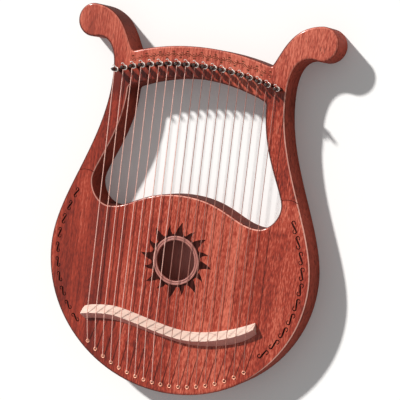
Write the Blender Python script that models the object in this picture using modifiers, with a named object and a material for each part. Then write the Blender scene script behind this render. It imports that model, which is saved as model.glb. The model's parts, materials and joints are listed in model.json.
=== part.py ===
"""A nineteen-string lyre harp, lying on its back.

X runs across the harp, Y from the tail to the horns and Z out of the front face.  Sizes along Y are
counted from the tail's edge, and the finished harp is then centred on the origin.  Two arms with curled
horns run down into the walls of a shallow sound box.  An arched crossbar tenoned between them holds
nineteen tuning pins.  Each string is wound on its pin, passes over the bridge and goes down through a
ferrule and the tail block to a ball end in the back.
"""

import math

import bmesh
import bpy
from mathutils import Matrix, Vector
from mathutils.geometry import interpolate_bezier

MM = 0.001

# Clearance between two wooden pieces that meet, and between a moving or resting piece and its seat
GAP = 0.3 * MM

# Body
THICKNESS = 42.0 * MM
FRONT_PLATE = 3.5 * MM
BACK_PLATE = 3.5 * MM
EDGE_RADIUS = 2.4 * MM
EDGE_SEGMENTS = 2
CORNER_RADIUS = 4.0 * MM
CORNER_SEGMENTS = 3
SMOOTHNESS = 9

# Outline of the box: a half ellipse below the widest line, then a long curve in to the waist
BELLY_HALF_WIDTH = 187.0 * MM
BELLY_Y = 172.0 * MM
BELLY_PULL = 72.0 * MM
WAIST_HALF_WIDTH = 123.5 * MM
WAIST_Y = 412.0 * MM
WAIST_PULL = 94.0 * MM

# Arms: width at the crossbar, and at the root of the horn
ARM_HEAD_WIDTH = 25.5 * MM
HORN_ROOT_WIDTH = 25.0 * MM

# Horns: a hook that ends in a round scroll
HORN_REACH = 38.0 * MM
HORN_X = WAIST_HALF_WIDTH + HORN_REACH
HORN_Y = 480.5 * MM
HORN_RADIUS = 22.3 * MM
HORN_THROAT_ANGLE = math.radians(258)
HORN_CROWN_ANGLE = math.radians(96)
NECK_PULL = 45.0 * MM
THROAT_PULL = 14.7 * MM
CROWN_PULL = 42.0 * MM
HORN_ROOT_ANGLE = math.radians(236)
HORN_ROOT_PULL = 22.0 * MM

# Crossbar: arched above and below
CROSSBAR_TOP_Y = 460.0 * MM
CROSSBAR_TOP_RISE = 15.0 * MM
CROSSBAR_TOP_HALF_SPAN = WAIST_HALF_WIDTH - HORN_ROOT_WIDTH
CROSSBAR_BOTTOM_Y = 418.5 * MM
CROSSBAR_BOTTOM_RISE = 20.0 * MM
CROSSBAR_JOINT_INSET = 3.7 * MM
CROSSBAR_JOINT_X = WAIST_HALF_WIDTH - ARM_HEAD_WIDTH - CROSSBAR_JOINT_INSET
CROSSBAR_JOINT_Y = 380.0 * MM
TENON_LENGTH = 13.0 * MM
TENON_HEIGHT = 24.0 * MM
TENON_THICKNESS = 12.0 * MM
TENON_Y = 420.0 * MM
TENON_Z = 8.0 * MM

# Opening between the arms, down to the two valleys and the peak of the box's top edge
ARM_HEAD_X = WAIST_HALF_WIDTH - ARM_HEAD_WIDTH
ARM_HEAD_PULL = 65.0 * MM
ARM_ROOT_X = 135.2 * MM
ARM_ROOT_Y = 268.0 * MM
ARM_ROOT_PULL = 20.0 * MM
VALLEY_X = 107.0 * MM
VALLEY_Y = 236.6 * MM
VALLEY_SIDE_PULL = 15.5 * MM
VALLEY_PULL = 33.0 * MM
PEAK_Y = 264.8 * MM
PEAK_PULL = 58.0 * MM

# Hollow of the box
SIDE_WALL = 12.0 * MM
TAIL_WALL = 24.0 * MM
RAIL_DEPTH = 14.0 * MM
SHOULDER_PULL = 38.0 * MM
RAIL_HALF_LENGTH = 128.0 * MM
TAIL_BLOCK_HALF_ANGLE = math.radians(49)

# Seams where the two plates end on the arms, arched upwards
SEAM_Y = 276.5 * MM
SEAM_RISE = 2.8 * MM
SEAM_INNER_X = 134.0 * MM
SEAM_OUTER_X = 157.0 * MM

# Braces under the front plate
BRACE_WIDTH = 8.0 * MM
BRACE_HEIGHT = 12.0 * MM
BRACE_END_HEIGHT = 5.0 * MM
BRACE_TAPER = 30.0 * MM
BRACE_END_ROOM = 1.0 * MM
BRACE_TO_RING = 6.0 * MM

# Sound hole and its ring, which is let into the front plate
HOLE_Y = 178.0 * MM
HOLE_RADIUS = 27.0 * MM
RING_WIDTH = 5.6 * MM
RING_HEIGHT = 2.2 * MM
RING_DEPTH = 1.2 * MM
RING_STEPS = 40

# Strings and where they are held
STRING_COUNT = 19
BASS_DIAMETER = 1.1 * MM
TREBLE_DIAMETER = 0.8 * MM
FERRULE_PITCH = 12.65 * MM
FERRULE_INSET = 11.0 * MM
FERRULE_RADIUS = 2.6 * MM
FERRULE_HEIGHT = 1.0 * MM
FERRULE_CHAMFER = 0.5 * MM
FERRULE_SIDES = 8
STRING_HOLE_RADIUS = 1.2 * MM
BALL_RADIUS = 2.1 * MM
BALL_LENGTH = 2.4 * MM
BALL_HOLE_RADIUS = 3.0 * MM
BEND_RADIUS = 1.3 * MM
BEND_STEPS = 3

# Tuning pins, in an arched row
PIN_EDGE_ROOM = 9.47 * MM
PIN_PITCH = 2.0 * (WAIST_HALF_WIDTH - PIN_EDGE_ROOM) / (STRING_COUNT - 1)
PIN_ROW_OFFSET = 1.0 * MM
PIN_ROW_Y = 435.7 * MM
PIN_ROW_RISE = 17.8 * MM
PIN_RADIUS = 2.5 * MM
PIN_DEPTH = 16.0 * MM
PIN_HOLE_SPARE = 1.5 * MM
PIN_SHANK = 17.0 * MM
PIN_HEAD_LENGTH = 7.5 * MM
PIN_HEAD_WIDTH = 3.5 * MM
PIN_HEAD_TAPER = 0.6 * MM
PIN_NOSE = 1.2 * MM
PIN_EYE_RADIUS = 0.7 * MM
PIN_EYE_HEIGHT = 16.0 * MM
PIN_SIDES = 10

# Winding of a string on its pin
WINDING_HEIGHT = 10.8 * MM
WINDING_TURNS = 2.25
WINDING_STEPS = 8
WINDING_GAP = 0.5 * MM

# Bridge: an S-shaped band that rises from a thin upper edge to a ridge under the strings, and then
# falls more steeply to its foot
BRIDGE_HEIGHT = 11.0 * MM
BRIDGE_EDGE_HEIGHT = 1.2 * MM
BRIDGE_UPPER_EDGE = (
    ((-125.3, 95.4), (-119.0, 99.4), (-95.0, 103.2), (-81.0, 103.2)),
    ((-81.0, 103.2), (-60.0, 103.2), (-6.0, 88.2), (23.0, 88.2)),
    ((23.0, 88.2), (57.0, 88.2), (97.0, 102.4), (122.2, 117.0)),
)
BRIDGE_RIDGE = (
    ((-125.1, 86.2), (-119.5, 88.2), (-94.0, 92.5), (-80.0, 92.5)),
    ((-80.0, 92.5), (-58.5, 92.5), (-5.0, 77.5), (26.5, 77.5)),
    ((26.5, 77.5), (58.0, 77.5), (102.0, 92.9), (122.6, 108.7)),
)
BRIDGE_FOOT = (
    ((-122.0, 78.6), (-114.0, 81.8), (-94.0, 84.4), (-79.0, 84.4)),
    ((-79.0, 84.4), (-61.0, 84.4), (1.5, 71.2), (30.0, 71.2)),
    ((30.0, 71.2), (62.5, 71.2), (107.0, 82.6), (124.2, 101.7)),
)
BRIDGE_STEPS = 9

# Room that a cutter has beyond what it cuts
REACH = 20.0 * MM

# Share of a handle that draws a quarter circle or ellipse
QUARTER = 4.0 / 3.0 * math.tan(math.pi / 8.0)

BODY_COLLECTION = "Lyre harp"
CUTTER_COLLECTION = "Cutters"

MAHOGANY = ("Mahogany", (0.34, 0.070, 0.036), 0.30, 0.0)
MAHOGANY_SIDE = ("Mahogany side", (0.22, 0.045, 0.028), 0.34, 0.0)
SPRUCE = ("Spruce brace", (0.62, 0.46, 0.28), 0.6, 0.0)
MAPLE = ("Maple", (0.86, 0.72, 0.56), 0.4, 0.0)
RING_WOOD = ("Rosette ring", (0.62, 0.28, 0.22), 0.35, 0.0)
PIN_STEEL = ("Pin steel", (0.62, 0.62, 0.64), 0.2, 1.0)
STRING_STEEL = ("String steel", (0.72, 0.66, 0.62), 0.25, 1.0)


def clear_scene():
    """Empties the scene of the objects that Blender starts with."""
    for item in list(bpy.data.objects):
        bpy.data.objects.remove(item, do_unlink=True)


def collection(name):
    """Returns the collection of that name, linked to the scene."""
    found = bpy.data.collections.get(name)
    if found is None:
        found = bpy.data.collections.new(name)
        bpy.context.scene.collection.children.link(found)
    return found


def material(finish):
    """Returns the material for a finish given as name, colour, roughness and metallic value."""
    name, colour, roughness, metallic = finish
    made = bpy.data.materials.get(name)
    if made is None:
        made = bpy.data.materials.new(name)
        made.use_nodes = True
        shader = made.node_tree.nodes["Principled BSDF"]
        shader.inputs["Base Color"].default_value = (*colour, 1.0)
        shader.inputs["Roughness"].default_value = roughness
        shader.inputs["Metallic"].default_value = metallic
        made.diffuse_color = (*colour, 1.0)
    return made


def add_part(name, mesh, finish, location=(0.0, 0.0, 0.0)):
    """Adds a mesh to the harp as a named piece with its finish."""
    part = bpy.data.objects.new(name, mesh)
    part.location = location
    if not mesh.materials:
        mesh.materials.append(material(finish))
    collection(BODY_COLLECTION).objects.link(part)
    return part


def add_cutter(name, mesh):
    """Adds a mesh that only cuts, joins or bounds other pieces."""
    cutter = bpy.data.objects.new(name, mesh)
    cutter.hide_render = True
    cutter.display_type = "WIRE"
    collection(CUTTER_COLLECTION).objects.link(cutter)
    return cutter


def mesh_from(bm, name):
    """Turns a bmesh into a mesh with its faces pointing out."""
    bmesh.ops.recalc_face_normals(bm, faces=bm.faces)
    mesh = bpy.data.meshes.new(name)
    bm.to_mesh(mesh)
    bm.free()
    return mesh


def evaluated_mesh(item, name):
    """Returns what an object's modifiers make of it as a mesh of its own."""
    bpy.context.view_layer.update()
    graph = bpy.context.evaluated_depsgraph_get()
    mesh = bpy.data.meshes.new_from_object(item.evaluated_get(graph))
    mesh.name = name
    return mesh


def bake(item, name):
    """Replaces an object by the mesh that its modifiers give, and returns that mesh."""
    mesh = evaluated_mesh(item, name)
    bpy.data.objects.remove(item, do_unlink=True)
    return mesh


def boolean(item, operation, cutter):
    """Adds a Boolean modifier with the exact solver."""
    modifier = item.modifiers.new(cutter.name, "BOOLEAN")
    modifier.operation = operation
    modifier.solver = "EXACT"
    modifier.object = cutter


class Outline:
    """Bezier knots of a flat outline, each with its place, its handle in and its handle out."""

    def __init__(self, start):
        """Starts at a point."""
        self.knots = [[Vector(start), None, None]]

    def line(self, end):
        """Adds a straight run, marked by handles that are None."""
        self.knots.append([Vector(end), None, None])
        return self

    def curve(self, handle_out, handle_in, end):
        """Adds a curved run by its two handles and its end."""
        self.knots[-1][2] = Vector(handle_out)
        self.knots.append([Vector(end), Vector(handle_in), None])
        return self

    def arc(self, centre, radius, angle_from, angle_to, pieces):
        """Adds a round run about a centre, in equal pieces."""
        step = (angle_to - angle_from) / pieces
        pull = 4.0 / 3.0 * math.tan(step / 4.0) * radius
        centre = Vector(centre)
        for index in range(pieces):
            first = angle_from + index * step
            last = first + step
            begin = centre + radius * Vector((math.cos(first), math.sin(first)))
            end = centre + radius * Vector((math.cos(last), math.sin(last)))
            leave = pull * Vector((-math.sin(first), math.cos(first)))
            arrive = pull * Vector((-math.sin(last), math.cos(last)))
            self.curve(begin + leave, end - arrive, end)
        return self

    def mirrored(self):
        """Returns the knots of the whole outline, whose right half this is, from x = 0 to x = 0."""
        flip = Vector((-1.0, 1.0))

        def other(handle):
            """Returns a handle on the left side."""
            return None if handle is None else handle * flip

        whole = [list(knot) for knot in self.knots]
        left = [[place * flip, other(out), other(into)] for place, into, out in reversed(self.knots)]
        whole[-1][2] = left[0][2]
        whole[0][1] = left[-1][1]
        return whole + left[1:-1]


def polygon(points):
    """Returns the knots of an outline with straight sides."""
    return [[Vector(point), None, None] for point in points]


def rectangle(x_low, x_high, y_low, y_high):
    """Returns the knots of a rectangle."""
    return polygon([(x_low, y_low), (x_high, y_low), (x_high, y_high), (x_low, y_high)])


def plate_mesh(name, outlines, z_low, z_high, steps=SMOOTHNESS):
    """Makes a closed flat body from outlines, of which the inner ones are holes."""
    curve = bpy.data.curves.new(name, "CURVE")
    curve.dimensions = "2D"
    curve.fill_mode = "BOTH"
    curve.extrude = (z_high - z_low) / 2.0
    curve.resolution_u = steps
    for knots in outlines:
        spline = curve.splines.new("BEZIER")
        spline.bezier_points.add(len(knots) - 1)
        spline.use_cyclic_u = True
        for point, (place, handle_in, handle_out) in zip(spline.bezier_points, knots):
            point.co = place.to_3d()
            point.handle_left_type = "VECTOR" if handle_in is None else "FREE"
            point.handle_right_type = "VECTOR" if handle_out is None else "FREE"
            point.handle_left = (handle_in or place).to_3d()
            point.handle_right = (handle_out or place).to_3d()
    guide = bpy.data.objects.new(name, curve)
    bpy.context.scene.collection.objects.link(guide)
    flat = bake(guide, name)
    bm = bmesh.new()
    bm.from_mesh(flat)
    bmesh.ops.remove_doubles(bm, verts=bm.verts, dist=0.01 * MM)
    bmesh.ops.dissolve_limit(bm, angle_limit=math.radians(0.05), verts=bm.verts, edges=bm.edges)
    bmesh.ops.translate(bm, verts=bm.verts, vec=(0.0, 0.0, (z_low + z_high) / 2.0))
    bpy.data.meshes.remove(flat)
    bpy.data.curves.remove(curve)
    return mesh_from(bm, name)


def round_upright_corners(mesh, radius, segments):
    """Rounds the sharp upright edges of a flat body, such as where the crossbar meets the horns."""
    bm = bmesh.new()
    bm.from_mesh(mesh)
    sharp = []
    for edge in bm.edges:
        run = edge.verts[1].co - edge.verts[0].co
        upright = abs(run.z) > 0.99 * run.length
        if upright and edge.calc_face_angle(0.0) > math.radians(30):
            sharp.append(edge)
    bmesh.ops.bevel(
        bm,
        geom=sharp,
        offset=radius,
        offset_type="OFFSET",
        segments=segments,
        profile=0.5,
        affect="EDGES",
        material=-1,
    )
    bm.to_mesh(mesh)
    bm.free()


def add_rod(bm, centre, z_low, z_high, radius, sides, top_radius=None):
    """Adds an upright rod, or a cone if its top radius differs, to a bmesh."""
    place = Matrix.Translation((centre[0], centre[1], (z_low + z_high) / 2.0))
    bmesh.ops.create_cone(
        bm,
        cap_ends=True,
        segments=sides,
        radius1=radius,
        radius2=radius if top_radius is None else top_radius,
        depth=z_high - z_low,
        matrix=place,
    )


def rods_mesh(name, centres, z_low, z_high, radius, sides):
    """Makes one mesh of upright rods that stand apart from each other."""
    bm = bmesh.new()
    for centre in centres:
        add_rod(bm, centre, z_low, z_high, radius, sides)
    return mesh_from(bm, name)


def box_mesh(name, low, high):
    """Makes a box from its lowest and highest corners."""
    bm = bmesh.new()
    size = Vector(high) - Vector(low)
    middle = (Vector(high) + Vector(low)) / 2.0
    bmesh.ops.create_cube(bm, size=1.0, matrix=Matrix.Translation(middle) @ Matrix.Diagonal(size).to_4x4())
    return mesh_from(bm, name)


def arch_drop(x, rise, half_span):
    """Returns how far a round arch lies below its crown at x."""
    radius = (half_span**2 + rise**2) / (2.0 * rise)
    return radius - math.sqrt(radius**2 - x**2)


def arch_run(outline, half_span, crown_y, rise):
    """Adds the right half of an arch, from its foot to its crown, to an outline."""
    radius = (half_span**2 + rise**2) / (2.0 * rise)
    foot_angle = math.acos(half_span / radius)
    return outline.arc((0.0, crown_y - radius), radius, foot_angle, math.pi / 2.0, 1)


def body_outline():
    """Draws the outer edge: tail, belly, waist, horn and the top of the crossbar."""
    outline = Outline((0.0, 0.0))
    outline.curve(
        (QUARTER * BELLY_HALF_WIDTH, 0.0),
        (BELLY_HALF_WIDTH, BELLY_Y * (1.0 - QUARTER)),
        (BELLY_HALF_WIDTH, BELLY_Y),
    )
    outline.curve(
        (BELLY_HALF_WIDTH, BELLY_Y + BELLY_PULL),
        (WAIST_HALF_WIDTH, WAIST_Y - WAIST_PULL),
        (WAIST_HALF_WIDTH, WAIST_Y),
    )
    horn = Vector((HORN_X, HORN_Y))
    throat_out = Vector((math.cos(HORN_THROAT_ANGLE), math.sin(HORN_THROAT_ANGLE)))
    throat_along = Vector((-throat_out.y, throat_out.x))
    throat = horn + HORN_RADIUS * throat_out
    outline.curve((WAIST_HALF_WIDTH, WAIST_Y + NECK_PULL), throat - THROAT_PULL * throat_along, throat)
    outline.arc(horn, HORN_RADIUS, HORN_THROAT_ANGLE - math.tau, HORN_CROWN_ANGLE, 2)
    crown_along = Vector((-math.sin(HORN_CROWN_ANGLE), math.cos(HORN_CROWN_ANGLE)))
    crown = outline.knots[-1][0]
    root = Vector((CROSSBAR_TOP_HALF_SPAN, CROSSBAR_TOP_Y - CROSSBAR_TOP_RISE))
    root_along = Vector((math.cos(HORN_ROOT_ANGLE), math.sin(HORN_ROOT_ANGLE)))
    outline.curve(crown + CROWN_PULL * crown_along, root - HORN_ROOT_PULL * root_along, root)
    arch_run(outline, CROSSBAR_TOP_HALF_SPAN, CROSSBAR_TOP_Y, CROSSBAR_TOP_RISE)
    return outline.mirrored()


def top_edge_run(outline, lower):
    """Adds the box's top edge from a valley to the peak, lowered for the hollow beneath it."""
    return outline.curve(
        (VALLEY_X - VALLEY_PULL, VALLEY_Y - lower),
        (PEAK_PULL, PEAK_Y - lower),
        (0.0, PEAK_Y - lower),
    )


def opening_outline():
    """Draws the opening between the arms, from its arched top down to the peak of the box."""
    outline = Outline((0.0, CROSSBAR_BOTTOM_Y))
    radius = (ARM_HEAD_X**2 + CROSSBAR_BOTTOM_RISE**2) / (2.0 * CROSSBAR_BOTTOM_RISE)
    foot_angle = math.acos(ARM_HEAD_X / radius)
    outline.arc((0.0, CROSSBAR_BOTTOM_Y - radius), radius, math.pi / 2.0, foot_angle, 1)
    head_y = CROSSBAR_BOTTOM_Y - CROSSBAR_BOTTOM_RISE
    outline.curve(
        (ARM_HEAD_X, head_y - ARM_HEAD_PULL),
        (ARM_ROOT_X, ARM_ROOT_Y + ARM_ROOT_PULL),
        (ARM_ROOT_X, ARM_ROOT_Y),
    )
    outline.curve(
        (ARM_ROOT_X, ARM_ROOT_Y - VALLEY_SIDE_PULL),
        (VALLEY_X + VALLEY_SIDE_PULL, VALLEY_Y),
        (VALLEY_X, VALLEY_Y),
    )
    return top_edge_run(outline, 0.0).mirrored()


def hollow_outline():
    """Draws the hollow of the box, inside the walls, the tail block and the top rail."""
    half_width = BELLY_HALF_WIDTH - SIDE_WALL
    depth = BELLY_Y - TAIL_WALL
    outline = Outline((0.0, TAIL_WALL))
    outline.curve(
        (QUARTER * half_width, TAIL_WALL),
        (half_width, BELLY_Y - QUARTER * depth),
        (half_width, BELLY_Y),
    )
    outline.curve(
        (half_width, BELLY_Y + SHOULDER_PULL),
        (VALLEY_X + SHOULDER_PULL, VALLEY_Y - RAIL_DEPTH),
        (VALLEY_X, VALLEY_Y - RAIL_DEPTH),
    )
    return top_edge_run(outline, RAIL_DEPTH).mirrored()


def plate_region(grow):
    """Draws the region that a front or back plate covers, up to the arched seams on the arms."""
    seam_y = SEAM_Y + grow
    far = BELLY_HALF_WIDTH + REACH
    bow = 4.0 / 3.0 * SEAM_RISE
    quarter = (SEAM_OUTER_X - SEAM_INNER_X) / 4.0
    outline = Outline((0.0, -REACH))
    outline.line((far, -REACH))
    outline.line((far, seam_y))
    outline.line((SEAM_OUTER_X, seam_y))
    outline.curve(
        (SEAM_OUTER_X - quarter, seam_y + bow),
        (SEAM_INNER_X + quarter, seam_y + bow),
        (SEAM_INNER_X, seam_y),
    )
    outline.line((0.0, seam_y))
    return outline.mirrored()


def tail_wedge(lift):
    """Draws the wedge about the middle of the belly that bounds the tail block."""
    reach = BELLY_HALF_WIDTH + BELLY_Y
    side = reach * math.sin(TAIL_BLOCK_HALF_ANGLE)
    foot = BELLY_Y + lift - reach * math.cos(TAIL_BLOCK_HALF_ANGLE)
    return polygon([(0.0, BELLY_Y + lift), (-side, foot), (side, foot)])


def blank_mesh():
    """Makes the whole body in one thickness, with its opening and its rounded rims."""
    mesh = plate_mesh("blank", [body_outline(), opening_outline()], 0.0, THICKNESS)
    round_upright_corners(mesh, CORNER_RADIUS, CORNER_SEGMENTS)
    blank = add_cutter("blank", mesh)
    rim = blank.modifiers.new("Rim", "BEVEL")
    rim.limit_method = "ANGLE"
    rim.angle_limit = math.radians(40)
    rim.width = EDGE_RADIUS
    rim.segments = EDGE_SEGMENTS
    return bake(blank, "blank")


def carve(name, mesh, keep=(), cut=(), join=()):
    """Bounds, joins and cuts a copy of a mesh with cutters, and returns the result as a mesh."""
    item = add_cutter(name, mesh.copy())
    for cutter in keep:
        boolean(item, "INTERSECT", cutter)
    for cutter in join:
        boolean(item, "UNION", cutter)
    for cutter in cut:
        boolean(item, "DIFFERENCE", cutter)
    return bake(item, name)


def side_of(index):
    """Returns a string's or a pin's place from the middle of the row, counted in pitches."""
    return index - (STRING_COUNT - 1) / 2.0


def ferrule_place(index):
    """Returns where a string goes into the front plate, a set distance inside the tail's edge."""
    x = side_of(index) * FERRULE_PITCH
    across = BELLY_HALF_WIDTH - FERRULE_INSET
    down = BELLY_Y - FERRULE_INSET
    return Vector((x, BELLY_Y - down * math.sqrt(1.0 - (x / across) ** 2)))


def pin_place(index):
    """Returns where a tuning pin's axis meets the front face, on an arch of its own."""
    x = side_of(index) * PIN_PITCH
    half_span = side_of(STRING_COUNT - 1) * PIN_PITCH
    return Vector((x + PIN_ROW_OFFSET, PIN_ROW_Y - arch_drop(x, PIN_ROW_RISE, half_span)))


def string_diameter(index):
    """Returns a string's diameter, from the thickest on the left to the thinnest."""
    share = index / (STRING_COUNT - 1)
    return BASS_DIAMETER + share * (TREBLE_DIAMETER - BASS_DIAMETER)


def sample_edge(runs):
    """Returns the points of a line along the bridge, given as Bezier runs in millimetres."""
    points = []
    for run in runs:
        knots = [Vector(knot) * MM for knot in run]
        piece = interpolate_bezier(*knots, BRIDGE_STEPS)
        points += piece if not points else piece[1:]
    return points


def height_on(points, x):
    """Returns y at x on a row of points that runs along x."""
    for first, last in zip(points, points[1:]):
        if first.x <= x <= last.x:
            share = (x - first.x) / (last.x - first.x)
            return first.y + share * (last.y - first.y)
    return points[0].y if x < points[0].x else points[-1].y


def build_soundboard(blank, region, string_holes):
    """Makes the front plate with its sound hole, the ring's seat and the fixed ferrules."""
    top = THICKNESS
    slab = add_cutter("front_slab", plate_mesh("front_slab", [region], top - FRONT_PLATE, top + REACH))
    collars = bmesh.new()
    waist = top + FERRULE_HEIGHT - FERRULE_CHAMFER
    for index in range(STRING_COUNT):
        place = ferrule_place(index)
        foot = top - FRONT_PLATE / 2.0
        add_rod(collars, place, foot, waist, FERRULE_RADIUS, FERRULE_SIDES)
    rings = add_cutter("ferrule_collars", mesh_from(collars, "ferrule_collars"))
    caps = bmesh.new()
    for index in range(STRING_COUNT):
        place = ferrule_place(index)
        crown = FERRULE_RADIUS - FERRULE_CHAMFER
        crest = top + FERRULE_HEIGHT
        add_rod(caps, place, waist, crest, FERRULE_RADIUS, FERRULE_SIDES, crown)
    crowns = add_cutter("ferrule_crowns", mesh_from(caps, "ferrule_crowns"))
    low = top - FRONT_PLATE - REACH
    hole = add_cutter(
        "sound_hole",
        rods_mesh("sound_hole", [(0.0, HOLE_Y)], low, top + REACH, HOLE_RADIUS, RING_STEPS),
    )
    seat_radius = HOLE_RADIUS + RING_WIDTH + GAP
    seat = add_cutter(
        "ring_seat",
        rods_mesh("ring_seat", [(0.0, HOLE_Y)], top - RING_DEPTH - GAP, top + REACH, seat_radius, RING_STEPS),
    )
    mesh = carve("soundboard", blank, keep=[slab], join=[rings, crowns], cut=[hole, seat, string_holes])
    return add_part("soundboard", mesh, MAHOGANY)


def build_back_board(blank, region):
    """Makes the back plate, with a round pocket under the tail block for each ball end."""
    slab = add_cutter("back_slab", plate_mesh("back_slab", [region], -REACH, BACK_PLATE))
    centres = [ferrule_place(index) for index in range(STRING_COUNT)]
    pockets = rods_mesh("ball_pockets", centres, -REACH, REACH, BALL_HOLE_RADIUS, FERRULE_SIDES)
    mesh = carve("back_board", blank, keep=[slab], cut=[add_cutter("ball_pockets", pockets)])
    return add_part("back_board", mesh, MAHOGANY_SIDE)


def frame_mesh(blank):
    """Makes the wooden frame in one piece: arms, crossbar, rail, walls and tail block."""
    pocket = plate_region(GAP)
    front = plate_mesh("front_pocket", [pocket], THICKNESS - FRONT_PLATE - GAP, THICKNESS + REACH)
    back = plate_mesh("back_pocket", [pocket], -REACH, BACK_PLATE + GAP)
    hollow = plate_mesh("hollow", [hollow_outline()], -REACH, THICKNESS + REACH)
    cutters = [add_cutter(mesh.name, mesh) for mesh in (front, back, hollow)]
    return carve("frame", blank, cut=cutters)


def build_tail_block(frame, string_holes):
    """Makes the block inside the tail that the strings go through."""
    wedge = add_cutter("tail_wedge", plate_mesh("tail_wedge", [tail_wedge(0.0)], -REACH, THICKNESS + REACH))
    return add_part("tail_block", carve("tail_block", frame, keep=[wedge], cut=[string_holes]), MAHOGANY_SIDE)


def rail_region(half_length):
    """Draws the region of the top rail between the roots of the arms."""
    return rectangle(-half_length, half_length, HOLE_Y + HOLE_RADIUS, SEAM_Y + 2.0 * SEAM_RISE)


def build_top_rail(frame):
    """Makes the rail under the box's curved top edge."""
    bound = add_cutter(
        "rail_bound",
        plate_mesh("rail_bound", [rail_region(RAIL_HALF_LENGTH)], -REACH, THICKNESS + REACH),
    )
    return add_part("box_top_rail", carve("box_top_rail", frame, keep=[bound]), MAHOGANY_SIDE)


def tenon_box(side, grow):
    """Makes the tenon at one end of the crossbar, or the mortise for it where it is grown."""
    inner = CROSSBAR_JOINT_X - REACH
    outer = CROSSBAR_JOINT_X + TENON_LENGTH + grow
    half = TENON_HEIGHT / 2.0 + grow
    low = (min(side * inner, side * outer), TENON_Y - half, TENON_Z - grow)
    high = (max(side * inner, side * outer), TENON_Y + half, TENON_Z + TENON_THICKNESS + grow)
    return box_mesh("tenon", low, high)


def crossbar_region(half_length):
    """Draws the region of the crossbar between the arms."""
    return rectangle(-half_length, half_length, CROSSBAR_JOINT_Y, CROSSBAR_TOP_Y + REACH)


def build_crossbar(frame, pin_holes):
    """Makes the arched crossbar with a tenon at each end and its row of pin holes."""
    bound = add_cutter(
        "crossbar_bound",
        plate_mesh("crossbar_bound", [crossbar_region(CROSSBAR_JOINT_X)], -REACH, THICKNESS + REACH),
    )
    tenons = [add_cutter("tenon", tenon_box(side, 0.0)) for side in (-1.0, 1.0)]
    mesh = carve("crossbar", frame, keep=[bound], join=tenons, cut=[pin_holes])
    return add_part("crossbar", mesh, MAHOGANY)


def build_arm(name, side, frame, pin_holes):
    """Makes an arm with its horn, its shoulder and the wall of the box that it runs into."""
    through = (-REACH, THICKNESS + REACH)
    wedge = tail_wedge(GAP / math.sin(TAIL_BLOCK_HALF_ANGLE))
    regions = {
        "tail_side": wedge,
        "rail_side": rail_region(RAIL_HALF_LENGTH + GAP),
        "crossbar_side": crossbar_region(CROSSBAR_JOINT_X + GAP),
    }
    cutters = [add_cutter(key, plate_mesh(key, [knots], *through)) for key, knots in regions.items()]
    cutters.append(add_cutter("mortise", tenon_box(side, GAP)))
    far = -side * (BELLY_HALF_WIDTH + REACH)
    half = rectangle(min(0.0, far), max(0.0, far), -REACH, HORN_Y + HORN_RADIUS + REACH)
    other_half = add_cutter("other_half", plate_mesh("other_half", [half], *through))
    mesh = carve(name, frame, cut=cutters + [pin_holes, other_half])
    return add_part(name, mesh, MAHOGANY)


def half_width_at(knots, y):
    """Returns how far the right side of an outline is from x = 0 at a height on the harp."""
    widest = 0.0
    for first, last in zip(knots, knots[1:]):
        if first[2] is None or last[0].x < 0.0:
            continue
        points = interpolate_bezier(first[0], first[2], last[1], last[0], 4 * SMOOTHNESS)
        for low, high in zip(points, points[1:]):
            if min(low.y, high.y) <= y < max(low.y, high.y):
                share = (y - low.y) / (high.y - low.y)
                widest = max(widest, low.x + share * (high.x - low.x))
    return widest


def build_brace(name, y):
    """Makes a brace that is glued across the inside of the front plate, thinned towards its ends."""
    top = THICKNESS - FRONT_PLATE - GAP
    hollow = hollow_outline()
    room = min(half_width_at(hollow, y + side * BRACE_WIDTH / 2.0) for side in (-1.0, 1.0))
    half_length = room - BRACE_END_ROOM
    inner = half_length - BRACE_TAPER
    profile = polygon(
        [
            (-half_length, 0.0),
            (-half_length, -BRACE_END_HEIGHT),
            (-inner, -BRACE_HEIGHT),
            (inner, -BRACE_HEIGHT),
            (half_length, -BRACE_END_HEIGHT),
            (half_length, 0.0),
        ]
    )
    mesh = plate_mesh(name, [profile], -BRACE_WIDTH / 2.0, BRACE_WIDTH / 2.0)
    mesh.transform(Matrix.Rotation(math.pi / 2.0, 4, "X"))
    return add_part(name, mesh, SPRUCE, (0.0, y, top))


def build_ring():
    """Makes the turned ring round the sound hole, with a rounded top."""
    inner = HOLE_RADIUS
    outer = HOLE_RADIUS + RING_WIDTH
    bevel = RING_WIDTH / 4.0
    low = THICKNESS - RING_DEPTH
    high = low + RING_HEIGHT
    edge = high - bevel / 2.0
    profile = [
        (inner, edge),
        (inner + bevel, high),
        (outer - bevel, high),
        (outer, edge),
        (outer, low),
        (inner, low),
    ]
    bm = bmesh.new()
    verts = [bm.verts.new((x, 0.0, z)) for x, z in profile]
    for first, last in zip(verts, verts[1:] + verts[:1]):
        bm.edges.new((first, last))
    mesh = bpy.data.meshes.new("sound_hole_ring")
    bm.to_mesh(mesh)
    bm.free()
    ring = add_part("sound_hole_ring", mesh, RING_WOOD, (0.0, HOLE_Y, 0.0))
    turn = ring.modifiers.new("Turn", "SCREW")
    turn.steps = RING_STEPS
    turn.render_steps = RING_STEPS
    turn.use_merge_vertices = True
    turn.merge_threshold = 0.01 * MM
    turn.use_normal_calculate = True
    return ring


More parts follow.
